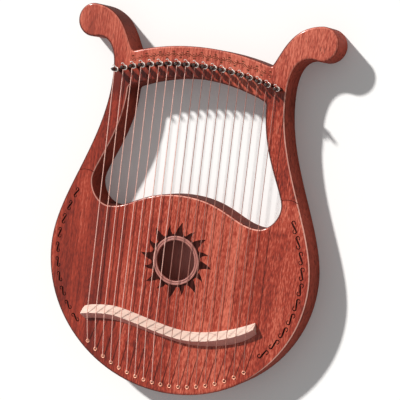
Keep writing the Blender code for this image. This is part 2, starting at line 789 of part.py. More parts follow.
def build_bridge(upper, ridge, foot):
    """Makes the S-shaped bridge from its sections, each a low wedge with a ridge."""
    name = "bridge"
    base = THICKNESS + GAP
    heights = (base, base + BRIDGE_EDGE_HEIGHT, THICKNESS + BRIDGE_HEIGHT, base)
    bm = bmesh.new()
    sections = []
    for edge, crest, toe in zip(upper, ridge, foot):
        corners = zip((edge, edge, crest, toe), heights)
        sections.append([bm.verts.new((corner.x, corner.y, height)) for corner, height in corners])
    for first, last in zip(sections, sections[1:]):
        for near, far in ((0, 1), (1, 2), (2, 3), (3, 0)):
            bm.faces.new((first[near], first[far], last[far], last[near]))
    bm.faces.new(sections[0])
    bm.faces.new(sections[-1])
    bmesh.ops.triangulate(bm, faces=bm.faces)
    bmesh.ops.recalc_face_normals(bm, faces=bm.faces)
    return add_part(name, mesh_from(bm, name), MAPLE)


def pin_mesh():
    """Makes a tuning pin about its own axis, with its origin where it enters the front face."""
    shank = bmesh.new()
    add_rod(shank, (0.0, 0.0), -PIN_DEPTH, PIN_SHANK, PIN_RADIUS, PIN_SIDES)
    rims = [edge for edge in shank.edges if all(vert.co.z < 0.0 for vert in edge.verts)]
    bmesh.ops.bevel(
        shank,
        geom=rims,
        offset=PIN_NOSE,
        offset_type="OFFSET",
        segments=1,
        profile=0.5,
        affect="EDGES",
        material=-1,
    )
    head = bmesh.new()
    corner = math.sqrt(0.5)
    top = PIN_SHANK + PIN_HEAD_LENGTH
    foot_radius = (PIN_HEAD_WIDTH + PIN_HEAD_TAPER) * corner
    add_rod(head, (0.0, 0.0), PIN_SHANK - PIN_NOSE, top, foot_radius, 4, PIN_HEAD_WIDTH * corner)
    eye = bmesh.new()
    bmesh.ops.create_cone(
        eye,
        cap_ends=True,
        segments=6,
        radius1=PIN_EYE_RADIUS,
        radius2=PIN_EYE_RADIUS,
        depth=4.0 * PIN_RADIUS,
        matrix=Matrix.Translation((0.0, 0.0, PIN_EYE_HEIGHT)) @ Matrix.Rotation(math.pi / 2.0, 4, "X"),
    )
    head_cutter = add_cutter("pin_head", mesh_from(head, "pin_head"))
    eye_cutter = add_cutter("pin_eye", mesh_from(eye, "pin_eye"))
    return carve("tuning_pin", mesh_from(shank, "pin_shank"), join=[head_cutter], cut=[eye_cutter])


def winding_points(centre, radius, pin_radius, top_face):
    """Returns the turns of a string on its pin, from the loose end down to where it leaves to the left."""
    reach = (pin_radius + GAP + radius) / math.cos(math.pi / WINDING_STEPS)
    pitch = 2.0 * radius + WINDING_GAP
    count = round(WINDING_TURNS * WINDING_STEPS)
    points = []
    for step in range(count + 1):
        turns_left = (count - step) / WINDING_STEPS
        angle = math.pi - math.tau * turns_left
        height = top_face + WINDING_HEIGHT + pitch * turns_left
        points.append(
            Vector((centre.x + reach * math.cos(angle), centre.y + reach * math.sin(angle), height))
        )
    return points


def least_winding_gap(points, diameter):
    """Measures the least gap between the turns of a winding, on points set close along it."""
    fine = []
    for first, last in zip(points, points[1:]):
        fine += [first.lerp(last, share / 4.0) for share in range(4)]
    half_turn = 4 * WINDING_STEPS // 2
    distances = [
        (fine[a] - fine[b]).length for a in range(len(fine)) for b in range(a + half_turn, len(fine))
    ]
    return min(distances) - diameter


def string_route(index, ridge):
    """Returns a string's points from its winding to its ball end, and how many belong to the winding."""
    radius = string_diameter(index) / 2.0
    face = THICKNESS
    points = winding_points(pin_place(index), radius, PIN_RADIUS, face)
    wound = len(points)
    start = points[-1]
    ferrule = ferrule_place(index)
    over_bridge = face + BRIDGE_HEIGHT + GAP + radius

    def x_at(y):
        """Returns where the string is across the harp at a height on it."""
        share = (start.y - y) / (start.y - ferrule.y)
        return start.x + share * (ferrule.x - start.x)

    y = height_on(ridge, x_at(height_on(ridge, start.x)))
    points.append(Vector((x_at(y), y, over_bridge)))
    crest = face + FERRULE_HEIGHT + GAP + radius
    centre = Vector((ferrule.x, ferrule.y + BEND_RADIUS, crest - BEND_RADIUS))
    for step in range(BEND_STEPS + 1):
        angle = math.pi / 2.0 + math.pi / 2.0 * step / BEND_STEPS
        offset = Vector((0.0, math.cos(angle), math.sin(angle)))
        points.append(centre + BEND_RADIUS * offset)
    neck = BACK_PLATE - GAP
    points.append(Vector((ferrule.x, ferrule.y, neck)))
    return points, wound


def build_string(index, ridge):
    """Makes one string as an unbroken tube with its ball end, and returns its least winding gap."""
    name = f"string_{index + 1:02d}"
    diameter = string_diameter(index)
    points, wound = string_route(index, ridge)
    gap = least_winding_gap(points[:wound], diameter)
    foot = points[-1]
    shoulder = 0.2 * MM
    swell = BALL_RADIUS / (diameter / 2.0)
    ends = [
        (foot - Vector((0.0, 0.0, shoulder)), swell),
        (foot - Vector((0.0, 0.0, BALL_LENGTH)), swell),
    ]
    curve = bpy.data.curves.new(name, "CURVE")
    curve.dimensions = "3D"
    curve.bevel_depth = diameter / 2.0
    curve.bevel_resolution = 1
    curve.use_fill_caps = True
    spline = curve.splines.new("POLY")
    places = [(point, 1.0) for point in points] + ends
    spline.points.add(len(places) - 1)
    for point, (place, scale) in zip(spline.points, places):
        point.co = (*place, 1.0)
        point.radius = scale
    curve.materials.append(material(STRING_STEEL))
    item = bpy.data.objects.new(name, curve)
    collection(BODY_COLLECTION).objects.link(item)
    return gap


def shade_round(part):
    """Shades a piece smooth, apart from its sharp edges."""
    if part.type == "MESH":
        part.data.shade_smooth()
        part.data.set_sharp_from_angle(angle=math.radians(35))


def build_harp():
    """Builds every piece of the harp."""
    region = plate_region(0.0)
    blank = blank_mesh()
    frame = frame_mesh(blank)

    ferrules = [ferrule_place(index) for index in range(STRING_COUNT)]
    hole_mesh = rods_mesh(
        "string_holes", ferrules, -REACH, THICKNESS + REACH, STRING_HOLE_RADIUS, FERRULE_SIDES
    )
    string_holes = add_cutter("string_holes", hole_mesh)
    pins = [pin_place(index) for index in range(STRING_COUNT)]
    hole_bottom = THICKNESS - PIN_DEPTH - PIN_HOLE_SPARE
    pin_hole_mesh = rods_mesh(
        "pin_holes", pins, hole_bottom, THICKNESS + REACH, PIN_RADIUS + GAP, PIN_SIDES
    )
    pin_holes = add_cutter("pin_holes", pin_hole_mesh)

    build_soundboard(blank, region, string_holes)
    build_back_board(blank, region)
    build_tail_block(frame, string_holes)
    build_top_rail(frame)
    build_crossbar(frame, pin_holes)
    build_arm("left_arm", -1.0, frame, pin_holes)
    build_arm("right_arm", 1.0, frame, pin_holes)
    brace_offset = HOLE_RADIUS + RING_WIDTH + BRACE_TO_RING + BRACE_WIDTH / 2.0
    build_brace("upper_brace", HOLE_Y + brace_offset)
    build_brace("lower_brace", HOLE_Y - brace_offset)
    build_ring()

    ridge = sample_edge(BRIDGE_RIDGE)
    build_bridge(sample_edge(BRIDGE_UPPER_EDGE), ridge, sample_edge(BRIDGE_FOOT))

    pin = pin_mesh()
    for index, place in enumerate(pins):
        add_part(f"tuning_pin_{index + 1:02d}", pin, PIN_STEEL, (*place, THICKNESS))
    gaps = [build_string(index, ridge) for index in range(STRING_COUNT)]
    print(f"least gap between the turns of a winding: {min(gaps) / MM:.2f} mm")

    middle = bpy.data.objects.new("harp_middle", None)
    middle.location = (0.0, -(HORN_Y + HORN_RADIUS) / 2.0, 0.0)
    for part in list(collection(BODY_COLLECTION).objects):
        shade_round(part)
        part.parent = middle
    collection(BODY_COLLECTION).objects.link(middle)


def main():
    """Clears the scene and builds the harp."""
    clear_scene()
    build_harp()


main()
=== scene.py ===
"""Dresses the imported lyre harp: lacquered mahogany, engraved ornament, steel pins and wound strings.

Sizes are in metres.  X runs across the harp, Y is counted from the tail's edge and Z from the back face.
Each finished mesh is then moved down by half of the harp's height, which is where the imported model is.
"""

import json
import logging
import math
from dataclasses import dataclass, field
from enum import Enum
from typing import Any, Callable, Iterable, Sequence

import bmesh
import bpy
from mathutils import Euler, Matrix, Vector
from mathutils.geometry import interpolate_bezier

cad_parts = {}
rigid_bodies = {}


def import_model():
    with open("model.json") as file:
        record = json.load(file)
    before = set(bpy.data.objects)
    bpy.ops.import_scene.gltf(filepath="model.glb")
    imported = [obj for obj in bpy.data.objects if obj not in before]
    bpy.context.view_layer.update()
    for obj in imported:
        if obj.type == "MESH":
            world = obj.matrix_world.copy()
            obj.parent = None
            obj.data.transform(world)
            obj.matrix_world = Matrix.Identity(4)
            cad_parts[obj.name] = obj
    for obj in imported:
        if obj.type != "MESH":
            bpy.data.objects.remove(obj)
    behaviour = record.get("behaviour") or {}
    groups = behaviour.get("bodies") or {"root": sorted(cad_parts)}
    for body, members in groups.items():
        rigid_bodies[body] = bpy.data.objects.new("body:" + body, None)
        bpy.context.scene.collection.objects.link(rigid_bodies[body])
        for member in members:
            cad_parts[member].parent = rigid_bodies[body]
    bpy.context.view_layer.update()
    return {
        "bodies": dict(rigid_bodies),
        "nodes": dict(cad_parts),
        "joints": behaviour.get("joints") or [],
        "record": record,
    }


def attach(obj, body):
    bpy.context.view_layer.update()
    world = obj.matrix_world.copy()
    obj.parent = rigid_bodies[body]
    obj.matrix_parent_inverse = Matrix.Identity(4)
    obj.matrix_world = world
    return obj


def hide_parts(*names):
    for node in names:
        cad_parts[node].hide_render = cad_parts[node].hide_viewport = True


MM = 0.001
MIDDLE_Y = 251.4 * MM
THICKNESS = 42.0 * MM
HARP_BODY = "harp"
STRING_COUNT = 19
QUARTER = 4.0 / 3.0 * math.tan(math.pi / 8.0)

Colour = tuple[float, float, float]
Place = tuple[float, float]
log = logging.getLogger("lyre_harp")


class Slot(Enum):
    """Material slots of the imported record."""

    FRONT = "mahogany"
    SIDE = "mahogany_dark"
    BRIDGE = "maple"
    RING = "ring_wood"
    BRACE = "spruce"
    PIN = "pin_steel"
    STRING = "string_steel"
    FERRULE = "ferrule_brass"
    INLAY = "inlay_dark"


class Axis(Enum):
    """Directions that a grain can run in, as the stretch of its noise along X, Y and Z."""

    UP = (1.0, 0.04, 0.35)
    ACROSS = (0.05, 1.0, 0.4)


class Level:
    """A shader value that takes part in Python arithmetic by adding Math nodes."""

    def __init__(self, recipe: "Recipe", socket: bpy.types.NodeSocket) -> None:
        """Wraps an output socket of a recipe's node tree."""
        self.recipe = recipe
        self.socket = socket

    def combined(self, operation: str, other: "Level | float", flipped: bool = False) -> "Level":
        """Adds a Math node.

        Args:
            operation: Math node operation.
            other: second value.
            flipped: whether the other value comes first.

        Returns:
            The node's result.
        """
        pair = (other, self) if flipped else (self, other)
        node = self.recipe.node("ShaderNodeMath", {"operation": operation}, dict(enumerate(pair)))
        return Level(self.recipe, node.outputs[0])

    def __add__(self, other: "Level | float") -> "Level":
        """Adds."""
        return self.combined("ADD", other)

    def __sub__(self, other: "Level | float") -> "Level":
        """Subtracts."""
        return self.combined("SUBTRACT", other)

    def __rsub__(self, other: "Level | float") -> "Level":
        """Subtracts from a number."""
        return self.combined("SUBTRACT", other, flipped=True)

    def __mul__(self, other: "Level | float") -> "Level":
        """Multiplies."""
        return self.combined("MULTIPLY", other)

    def __pow__(self, other: "Level | float") -> "Level":
        """Raises to a power."""
        return self.combined("POWER", other)

    __radd__ = __add__
    __rmul__ = __mul__

    def above(self, edge: float, width: float) -> "Level":
        """Rises smoothly from 0 to 1 over a width that starts at an edge."""
        inputs = {0: self, 1: edge, 2: edge + width}
        node = self.recipe.node("ShaderNodeMapRange", {"interpolation_type": "SMOOTHSTEP"}, inputs)
        return Level(self.recipe, node.outputs[0])

    def wave(self, period: float) -> "Level":
        """Returns a sine of the value with a period."""
        turned = self * (math.tau / period)
        return turned.combined("SINE", 0.0)


class Recipe:
    """The node tree of one material, or of the world."""

    def __init__(self, name: str, world: bpy.types.World | None = None) -> None:
        """Starts an empty tree."""
        self.material = world or bpy.data.materials.new(name)
        self.material.use_nodes = True
        self.tree = self.material.node_tree
        self.tree.nodes.clear()
        self.coordinates = self.node("ShaderNodeTexCoord")

    def node(
        self, kind: str, settings: dict[str, Any] | None = None, inputs: dict[Any, Any] | None = None
    ) -> bpy.types.Node:
        """Adds a node.

        Args:
            kind: node type.
            settings: properties of the node, set first; "stops" are a ramp's positions and colours.
            inputs: values or links of its sockets, by name or number.

        Returns:
            The node.
        """
        node = self.tree.nodes.new(kind)
        for key, value in (settings or {}).items():
            if key == "stops":
                self.set_stops(node.color_ramp, value)
            else:
                setattr(node, key, value)
        for key, value in (inputs or {}).items():
            self.feed(node.inputs[key], value)
        return node

    @staticmethod
    def set_stops(ramp: bpy.types.ColorRamp, stops: Sequence[tuple[float, Colour]]) -> None:
        """Gives a ramp its stops."""
        while len(ramp.elements) < len(stops):
            ramp.elements.new(0.5)
        for element, (position, colour) in zip(ramp.elements, stops):
            element.position = position
            element.color = (*colour, 1.0)

    def feed(self, socket: bpy.types.NodeSocket, value: Any) -> None:
        """Links or sets one input socket."""
        if isinstance(value, Level):
            self.tree.links.new(value.socket, socket)
        elif isinstance(value, bpy.types.NodeSocket):
            self.tree.links.new(value, socket)
        elif isinstance(value, tuple) and socket.type == "RGBA":
            socket.default_value = (*value, 1.0)
        else:
            socket.default_value = value

    def place(self, scale: Colour = (1.0, 1.0, 1.0), shift: Colour = (0.0, 0.0, 0.0)) -> bpy.types.NodeSocket:
        """Returns the point on the piece, scaled and shifted."""
        inputs = {"Vector": self.coordinates.outputs["Object"], "Scale": scale, "Location": shift}
        return self.node("ShaderNodeMapping", None, inputs).outputs["Vector"]

    def axes(self, vector: bpy.types.NodeSocket) -> tuple[Level, Level, Level]:
        """Splits a vector into its three values."""
        split = self.node("ShaderNodeSeparateXYZ", None, {0: vector})
        x, y, z = (Level(self, split.outputs[index]) for index in range(3))
        return x, y, z

    def noise(self, vector: bpy.types.NodeSocket, scale: float, detail: float, rough: float = 0.55) -> Level:
        """Returns noise, mostly from 0.25 to 0.75."""
        inputs = {"Vector": vector, "Scale": scale, "Detail": detail, "Roughness": rough}
        return Level(self, self.node("ShaderNodeTexNoise", None, inputs).outputs["Fac"])

    def mix(self, first: Any, second: Any, share: Any, blend: str = "MIX") -> bpy.types.NodeSocket:
        """Mixes two colours by a share."""
        settings = {"data_type": "RGBA", "blend_type": blend}
        return self.node("ShaderNodeMix", settings, {0: share, 6: first, 7: second}).outputs[2]

    def ramp(self, level: Level, stops: Sequence[tuple[float, Colour]]) -> bpy.types.NodeSocket:
        """Turns a value into a colour."""
        return self.node("ShaderNodeValToRGB", {"stops": stops}, {0: level}).outputs["Color"]

    def bump(self, height: Level, strength: float, distance: float) -> bpy.types.NodeSocket:
        """Returns a normal from a height."""
        inputs = {"Height": height, "Strength": strength, "Distance": distance}
        return self.node("ShaderNodeBump", None, inputs).outputs["Normal"]

    def finished(self, inputs: dict[str, Any]) -> bpy.types.Material:
        """Closes the tree with a Principled shader and returns the material."""
        shader = self.node("ShaderNodeBsdfPrincipled", None, inputs)
        self.node("ShaderNodeOutputMaterial", None, {"Surface": shader.outputs[0]})
        return self.material


@dataclass(frozen=True)
class Mahogany:
    """Red mahogany under a satin-gloss lacquer: ribbon figure, fine streaks and open pores, with painted shade, sheen
    and highlights.
    """

    name: str = "Mahogany lacquer"
    light: Colour = (0.65, 0.162, 0.102)
    middle: Colour = (0.36, 0.046, 0.025)
    dark: Colour = (0.14, 0.018, 0.012)
    pore: Colour = (0.045, 0.010, 0.008)
    side_light: Colour = (0.43, 0.076, 0.048)
    side_dark: Colour = (0.18, 0.033, 0.021)
    # painted sheen: a paler tone mixed into the upper boards stands in for the lacquer's reflection there
    painted_sheen: Colour = (0.80, 0.38, 0.29)
    tone: Place = (0.34, 0.6)
    # painted shade: the near-black colour mixed onto the walls that face the light and onto the left-facing rims
    rim: Colour = (0.050, 0.012, 0.009)
    # pale colour of the rims: rubbed wear mixed with a painted highlight on the edges that face right and up
    wear_and_gleam: Colour = (0.90, 0.48, 0.39)
    ribbon: float = 40.0
    streak: float = 330.0
    fleck: float = 620.0
    grain: Axis = Axis.UP
    coat: float = 0.34

    def stretched(self, recipe: Recipe, factor: float = 1.0) -> bpy.types.NodeSocket:
        """Returns the point on the piece, drawn out along the grain."""
        x, y, z = self.grain.value
        return recipe.place(scale=(x, y * factor, z))

    def tone_and_painted_shade(self, x: Level, y: Level) -> Level:
        """Returns how light the boards are at a place: lighter to the right and the top, lighter or darker in
        patches, with painted shadow of the strings on the left and of the pins under their row.
        """
        away = x.combined("ABSOLUTE", 0.0)
        beside = away.above(0.085, 0.02)
        arms = beside * y.above(0.01, 0.03) * (1.0 - y.above(0.15, 0.05))
        right = x.above(0.07, 0.07) * (1.0 - y.above(-0.03, 0.04))
        corner = (1.0 - x.above(-0.11, 0.05)) * (1.0 - y.above(-0.14, 0.04))
        # painted shade of the strings' shadows on the left of the soundboard
        left = x.above(-0.125, 0.03) * (1.0 - x.above(-0.065, 0.03))
        left = left * y.above(-0.14, 0.06) * (1.0 - y.above(0.02, 0.03))
        middle = (1.0 - beside) * y.above(-0.07, 0.05) * (1.0 - y.above(0.04, 0.05))
        tail = x.above(0.0, 0.05) * (1.0 - y.above(-0.16, 0.06))
        # painted shadow of the pins on the crossbar below their row
        painted_pin_shadow = y.above(0.12, 0.03) * (1.0 - (y + x * x * 1.37).above(0.177, 0.010))
        painted_pin_shadow = painted_pin_shadow * (1.6 - x.above(-0.02, 0.08))
        bar_ends = away.above(0.03, 0.03) * y.above(0.17, 0.02) * (1.0 - y.above(0.205, 0.02))
        light = x * self.tone[0] + y * self.tone[1] + middle * 0.07 + tail * 0.13
        light = light - arms * 0.21 - right * 0.15 - left * 0.17 - corner * 0.12
        return light + 0.565 - painted_pin_shadow * 0.34 - bar_ends * 0.05

    def made(self) -> bpy.types.Material:
        """Makes the material."""
        recipe = Recipe(self.name)
        along = self.stretched(recipe)
        streaks = recipe.noise(along, self.streak, 5.0, 0.62)
        ribbons = recipe.noise(along, self.ribbon, 3.0, 0.5)
        flecks = recipe.noise(self.stretched(recipe, 5.5), self.fleck, 3.0, 0.6)
        clouds = recipe.noise(recipe.place(), 9.0, 2.0)
        x, y, _ = recipe.axes(recipe.place())
        calm = 1.0 - x.above(-0.10, 0.07)
        share = (streaks - 0.5) * 1.1 + (clouds - 0.5) * 0.6 + self.tone_and_painted_shade(x, y)
        share = share + (flecks - 0.5) * (1.7 - calm * 0.8) + (ribbons - 0.5) * (0.75 + calm * 0.6)
        front = recipe.ramp(share, [(0.08, self.dark), (0.5, self.middle), (0.92, self.light)])
        # painted sheen on the upper part of the harp
        front = recipe.mix(front, self.painted_sheen, y.above(0.13, 0.10) * 0.07)
        side = recipe.mix(self.side_dark, self.side_light, share)
        across, along_y, upright_share = recipe.axes(recipe.coordinates.outputs["Normal"])
        upward = upright_share.combined("ABSOLUTE", 0.0)
        facing = upward.above(0.58, 0.28)
        # painted shade on the walls that face the light, chosen by their normals
        side = recipe.mix(side, self.rim, (along_y * 0.66 - across * 0.75).above(0.0, 0.45) * 0.85)
        # the same dark colour also darkens the walls at the top left of the harp
        side = recipe.mix(side, self.rim, y.above(0.20, 0.04) * (1.0 - x.above(-0.065, 0.02)) * 0.75)
        # painted shade on rims and faces that turn to the left
        shaded = (across * -0.85 - along_y * 0.35).above(0.03, 0.25) * 0.85
        wood = recipe.mix(side, recipe.mix(front, self.rim, shaded), facing)
        # painted highlight with some wear: the rims are paler only where they face right and up
        edge = upward.above(0.76, 0.08) * (1.0 - upward.above(0.955, 0.03))
        edge = edge * (across + along_y * 0.6).above(0.02, 0.12) * (1.0 - y.above(0.15, 0.04) * 0.85)
        rubbed_and_highlit = recipe.mix(wood, self.wear_and_gleam, edge * (clouds.above(0.30, 0.35) * 0.45 + 0.42))
        pores = recipe.noise(self.stretched(recipe, 3.0), 620.0, 2.0, 0.5)
        marks = pores.above(0.585, 0.09) * (streaks.above(0.42, 0.16) * 0.6 + 0.3)
        grained = recipe.mix(rubbed_and_highlit, self.pore, marks * 0.7)
        height = streaks * 0.25 - marks
        return recipe.finished(
            {
                "Base Color": grained,
                "Roughness": streaks * 0.14 + (0.50 - facing * 0.20),
                "Coat Weight": facing * self.coat,
                "Coat Roughness": 0.16,
                "Specular IOR Level": 0.03,
                "Normal": recipe.bump(height, 0.25, 0.25 * MM),
            }
        )


@dataclass(frozen=True)
class Burnt:
    """Wood darkened by engraving."""

    name: str = "Burnt engraving"
    dark: Colour = (0.026, 0.007, 0.006)
    light: Colour = (0.060, 0.015, 0.012)
    roughness: float = 0.75

    def made(self) -> bpy.types.Material:
        """Makes the material."""
        recipe = Recipe(self.name)
        soot = recipe.noise(recipe.place(scale=(1.0, 0.3, 1.0)), 420.0, 3.0)
        colour = recipe.mix(self.dark, self.light, soot.above(0.35, 0.3))
        normal = recipe.bump(soot, 0.3, 0.2 * MM)
        return recipe.finished(
            {"Base Color": colour, "Roughness": self.roughness, "Specular IOR Level": 0.03, "Normal": normal}
        )


@dataclass(frozen=True)
class PaleWood:
    """Pale close-grained wood, such as the bridge's maple or the braces' spruce."""

    name: str
    light: Colour
    dark: Colour
    line: Colour
    streak: float = 300.0
    line_share: float = 0.5
    roughness: float = 0.42
    coat: float = 0.15
    grain: Axis = Axis.ACROSS
    # side: colour of faces turned down the harp; on the bridge it is painted shade with a painted red reflection of
    # the soundboard
    side: Colour | None = None

    def made(self) -> bpy.types.Material:
        """Makes the material."""
        recipe = Recipe(self.name)
        along = recipe.place(scale=self.grain.value)
        streaks = recipe.noise(along, self.streak, 4.0, 0.6)
        wood = recipe.mix(self.dark, self.light, (streaks - 0.5) * 1.4 + 0.6)
        fine = recipe.noise(along, self.streak * 3.1, 2.0, 0.5)
        lines = fine.above(0.60, 0.06) * self.line_share
        colour = recipe.mix(wood, self.line, lines)
        # painted shade and reflection on the faces turned down the harp
        if self.side:
            facing = recipe.axes(recipe.coordinates.outputs["Normal"])[1].above(-0.30, 0.12)
            colour = recipe.mix(self.side, colour, facing)
        return recipe.finished(
            {
                "Base Color": colour,
                "Roughness": streaks * 0.15 + self.roughness,
                "Coat Weight": self.coat,
                "Coat Roughness": 0.25,
                "Normal": recipe.bump(streaks - lines, 0.15, 0.15 * MM),
            }
        )


@dataclass(frozen=True)
class RingWood:
    """The turned ring: paler reddish wood with a darker line in its groove."""

    name: str = "Rosette ring wood"
    light: Colour = (0.47, 0.182, 0.148)
    dark: Colour = (0.32, 0.104, 0.084)
    line: Colour = (0.25, 0.066, 0.052)
    middle_radius: float = 29.6 * MM
    line_width: float = 0.55 * MM
    centre_y: float = 178.0 * MM - MIDDLE_Y

    def made(self) -> bpy.types.Material:
        """Makes the material."""
        recipe = Recipe(self.name)
        x, y, _ = recipe.axes(recipe.place(shift=(0.0, -self.centre_y, 0.0)))
        radius = (x * x + y * y) ** 0.5
        off = (radius - self.middle_radius).combined("ABSOLUTE", 0.0)
        groove = 1.0 - off.above(self.line_width * 0.7, self.line_width * 0.6)
        streaks = recipe.noise(recipe.place(scale=Axis.UP.value), 330.0, 4.0)
        wood = recipe.mix(self.dark, self.light, (streaks - 0.5) * 1.6 + 0.62)
        colour = recipe.mix(wood, self.line, groove)
        return recipe.finished(
            {
                "Base Color": colour,
                "Roughness": streaks * 0.15 + 0.42,
                "Coat Weight": 0.12,
                "Coat Roughness": 0.3,
                "Normal": recipe.bump(streaks, 0.12, 0.15 * MM),
            }
        )


@dataclass(frozen=True)
class Metal:
    """A plated or bright metal with fine scratches."""

    name: str
    light: Colour
    dark: Colour
    roughness: float
    scratch: float = 700.0
    winding: float = 0.0
    wear: float = 0.18
    metallic: float = 1.0

    def made(self) -> bpy.types.Material:
        """Makes the material."""
        recipe = Recipe(self.name)
        wear_and_gleam = recipe.noise(recipe.place(), self.scratch, 3.0)
        colour = recipe.mix(self.dark, self.light, wear_and_gleam.above(0.35, 0.3))
        height = wear_and_gleam * 0.3
        if self.winding:
            y = recipe.axes(recipe.place())[1]
            height = height + y.wave(self.winding)
        return recipe.finished(
            {
                "Base Color": colour,
                "Metallic": self.metallic,
                "Roughness": wear_and_gleam * self.wear + self.roughness,
                "Normal": recipe.bump(height, 0.12, 0.1 * MM),
            }
        )


@dataclass(frozen=True)
class PaleFloor:
    """A pale floor that looks white to the camera and keeps the harp's shadow."""

    name: str = "Pale floor"
    colour: Colour = (0.97, 0.97, 0.97)
    glow: float = 0.06

    def made(self) -> bpy.types.Material:
        """Makes the material."""
        recipe = Recipe(self.name)
        cloud = recipe.noise(recipe.place(), 3.0, 2.0)
        paper = recipe.mix(self.colour, (0.985, 0.985, 0.98), cloud)
        cloth = recipe.node("ShaderNodeBsdfDiffuse", None, {"Color": paper})
        white = recipe.node("ShaderNodeEmission", None, {"Color": (1.0, 1.0, 1.0), "Strength": 1.0})
        ray = recipe.node("ShaderNodeLightPath")
        seen = Level(recipe, ray.outputs["Is Camera Ray"]) * self.glow
        mirrored = Level(recipe, ray.outputs["Is Glossy Ray"]) + Level(recipe, ray.outputs["Is Transmission Ray"])
        share = (seen + mirrored * self.glow).combined("MINIMUM", 1.0)
        surface = recipe.node("ShaderNodeMixShader", None, {0: share, 1: cloth.outputs[0], 2: white.outputs[0]})
        recipe.node("ShaderNodeOutputMaterial", None, {"Surface": surface.outputs[0]})
        return recipe.material


class Outline:
    """Bezier knots of a flat outline, each with its place, its handle in and its handle out."""

    def __init__(self, start: Iterable[float]) -> None:
        """Starts at a point."""
        self.knots: list[list[Vector | None]] = [[Vector(start), None, None]]

    def line(self, end: Iterable[float]) -> "Outline":
        """Adds a straight run."""
        self.knots.append([Vector(end), None, None])
        return self

    def curve(self, handle_out: Iterable[float], handle_in: Iterable[float], end: Iterable[float]) -> "Outline":
        """Adds a curved run by its two handles and its end."""
        self.knots[-1][2] = Vector(handle_out)
        self.knots.append([Vector(end), Vector(handle_in), None])
        return self

    def arc(self, centre: Iterable[float], radius: float, first: float, last: float, pieces: int) -> "Outline":
        """Adds a round run about a centre.

        Args:
            centre: centre of the arc.
            radius: its radius.
            first: angle at its start.
            last: angle at its end.
            pieces: how many Bezier runs draw it.

        Returns:
            The outline.
        """
        step = (last - first) / pieces
        pull = 4.0 / 3.0 * math.tan(step / 4.0) * radius
        middle = Vector(centre)
        for index in range(pieces):
            begin = Vector((math.cos(first + index * step), math.sin(first + index * step)))
            end = Vector((math.cos(first + (index + 1) * step), math.sin(first + (index + 1) * step)))
            leave = middle + radius * begin + pull * begin.orthogonal()
            arrive = middle + radius * end - pull * end.orthogonal()
            self.curve(leave, arrive, middle + radius * end)
        return self

    def mirrored(self) -> list[list[Vector | None]]:
        """Returns the knots of the whole outline, whose right half this is, from x = 0 to x = 0."""
        flip = Vector((-1.0, 1.0))

        def other(handle: Vector | None) -> Vector | None:
            """Returns a handle on the left side."""
            return None if handle is None else handle * flip

        whole = [list(knot) for knot in self.knots]
        left = [[place * flip, other(out), other(into)] for place, into, out in reversed(self.knots)]
        whole[-1][2] = left[0][2]
        whole[0][1] = left[-1][1]
        return whole + left[1:-1]


